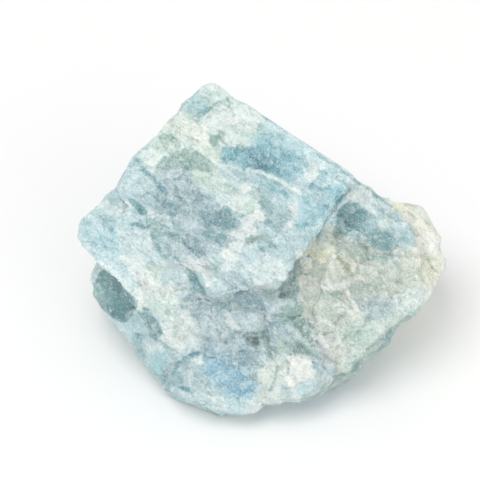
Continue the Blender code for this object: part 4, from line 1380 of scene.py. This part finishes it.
def stone_material():
    material = bpy.data.materials.new("beryl")
    material.use_nodes = True
    tree = Tree(material)
    place = tree.scaled(tree.add("ShaderNodeTexCoord").outputs["Object"], 1.0 / MM)
    milk = tree.attribute("milk")
    smooth = tree.attribute("smooth_face")
    colour = tree.attribute("stone_colour", "Color")
    broken = tree.math("SUBTRACT", 1.0, smooth)
    rough_share = tree.math("SUBTRACT", 1.0, tree.math("MULTIPLY", smooth, SMOOTH_BARE))
    milky = tree.math("MULTIPLY", tree.ramp(milk, *MILKY_MARKS), rough_share)

    wobble = tree.noise(place, *WOBBLE_NOISE, output="Color")
    centred = tree.vector("SUBTRACT", wobble, (0.5,) * 3)
    bent = tree.vector("MULTIPLY_ADD", centred, (FACET_WOBBLE,) * 3, place)
    tone, facet_height = all_facets(tree, bent)
    tone = tree.math("MULTIPLY", tone, rough_share)
    # the facets' tone: painted light and shade along each facet's lean, with a random tone
    colour = tree.blend(tree.mark(tone, *FACET_SHADE), colour, solid(FACET_DARK), "MULTIPLY")
    colour = tree.blend(tree.mark(tone, *FACET_LIGHT), colour, solid(MILK))

    fine = tree.noise(place, *FINE_NOISE)
    plate = tree.math("FRACT", tree.math("MULTIPLY_ADD", fine, PLATE_RAGGED,
                                         tree.attribute("plates")))
    # painted shade at each plate's foot and painted highlight along its raised end
    shade = tree.math("MULTIPLY", tree.mark(plate, *PLATE_SHADE), rough_share)
    light = tree.math("MULTIPLY", tree.mark(plate, *PLATE_LIGHT), milky)
    colour = tree.blend(shade, colour, solid(PLATE_DARK), "MULTIPLY")
    colour = tree.blend(light, colour, solid(MILK))

    veil = tree.mark(tree.noise(bent, *VEIL_NOISE), *VEIL_LIGHT)
    colour = tree.blend(tree.math("MULTIPLY", veil, milky), colour, solid(MILK))

    colour = tree.blend(tree.mark(fine, *GRAIN_SHADE), colour, solid(GRAIN_DARK), "MULTIPLY")
    colour = tree.blend(tree.mark(fine, *GRAIN_LIGHT), colour, solid(MILK))

    streak = tree.noise(tree.squeezed(place, GRAIN_WAY, STREAK_SQUEEZE), *STREAK_NOISE)
    where = tree.noise(bent, *STREAKED_NOISE)
    amount = tree.math("MULTIPLY", tree.ramp(where, *STREAKED), rough_share)
    light = tree.math("MULTIPLY", tree.mark(streak, *STREAK_LIGHT), amount)
    shade = tree.math("MULTIPLY", tree.mark(streak, *STREAK_SHADE), amount)
    colour = tree.blend(light, colour, STREAK_PALE, "MULTIPLY")
    colour = tree.blend(shade, colour, STREAK_DARK, "MULTIPLY")

    ground = tree.math("ADD", facet_height, tree.math("MULTIPLY", fine, GRAIN_RISE))
    for way, shift, mask_shift in HACKLES:
        line, step = hackle(tree, place, way, shift, mask_shift)
        line = tree.math("MULTIPLY", tree.math("MULTIPLY", line, broken), HACKLE_LIGHT)
        colour = tree.blend(line, colour, solid(HACKLE_WHITE))
        ground = tree.math("ADD", ground, tree.math("MULTIPLY", step, HACKLE_RISE))
    glint = tree.math("MULTIPLY", tree.math("MULTIPLY", glints(tree, place), broken),
                      GLINT_LIGHT)
    colour = tree.blend(glint, colour, solid(GLINT_WHITE))
    ground = tree.math("ADD", ground, tree.math("MULTIPLY", plate, PLATE_RISE))

    strength = tree.math("MULTIPLY_ADD", smooth, -BUMP_LESS, BUMP_BROKEN)
    bump = tree.add("ShaderNodeBump", {
        "Distance": BUMP_DISTANCE, "Height": ground, "Strength": strength})
    rough = tree.math("MULTIPLY_ADD", milk, ROUGH_MORE, ROUGH_CLEAR)
    shader = tree.add("ShaderNodeBsdfPrincipled", {
        "Base Color": colour, "Roughness": rough, "Normal": bump.outputs["Normal"],
        "IOR": BERYL_IOR, "Subsurface Weight": SCATTER_SHARE,
        "Subsurface Radius": (1.0, 1.0, 1.0), "Subsurface Scale": SCATTER_DEPTH})
    tree.add("ShaderNodeOutputMaterial", {"Surface": shader.outputs["BSDF"]})
    return material


# ---------------------------------------------------------------- studio
FLOOR_SIZE = 6.0
FLOOR_COLOUR = (0.93, 0.93, 0.93, 1.0)
FLOOR_ROUGHNESS = 0.9
SKY_COLOUR = (1.0, 1.0, 0.99, 1.0)
SKY_STRENGTH = 0.70
LIGHT_DISTANCE = 0.8
LIGHTS = [                  # name, the way to it from the stone, its size (m) and its power (W)
    ("key", TOWARDS + UP * 0.6 - RIGHT * 0.35, 0.6, 2.8),
    ("fill", TOWARDS - UP * 0.35 + RIGHT * 0.9, 0.8, 1.0),
]


def make_floor():
    bpy.ops.mesh.primitive_plane_add(size=FLOOR_SIZE)
    floor = bpy.context.object
    floor.name = "studio_floor"
    material = bpy.data.materials.new("studio_floor")
    material.use_nodes = True
    shader = material.node_tree.nodes["Principled BSDF"]
    shader.inputs["Base Color"].default_value = FLOOR_COLOUR
    shader.inputs["Roughness"].default_value = FLOOR_ROUGHNESS
    floor.data.materials.append(material)
    return floor


def make_light(name, direction, size, power):
    light = bpy.data.objects.new(name, bpy.data.lights.new(name, "AREA"))
    light.data.shape = "DISK"
    light.data.size = size
    light.data.energy = power
    light.location = TARGET + direction.normalized() * LIGHT_DISTANCE
    light.rotation_mode = "QUATERNION"
    light.rotation_quaternion = (-direction).to_track_quat("-Z", "Y")
    scene.collection.objects.link(light)


def make_studio():
    world = bpy.data.worlds.new("studio")
    world.use_nodes = True
    sky = world.node_tree.nodes["Background"]
    sky.inputs["Color"].default_value = SKY_COLOUR
    sky.inputs["Strength"].default_value = SKY_STRENGTH
    scene.world = world
    scene.view_settings.view_transform = "Standard"
    for light in LIGHTS:
        make_light(*light)
    floor = make_floor()


make_camera()
stone = make_lump()
stone.data.materials.append(stone_material())
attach(stone, "root")
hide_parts(NODE)
make_studio()
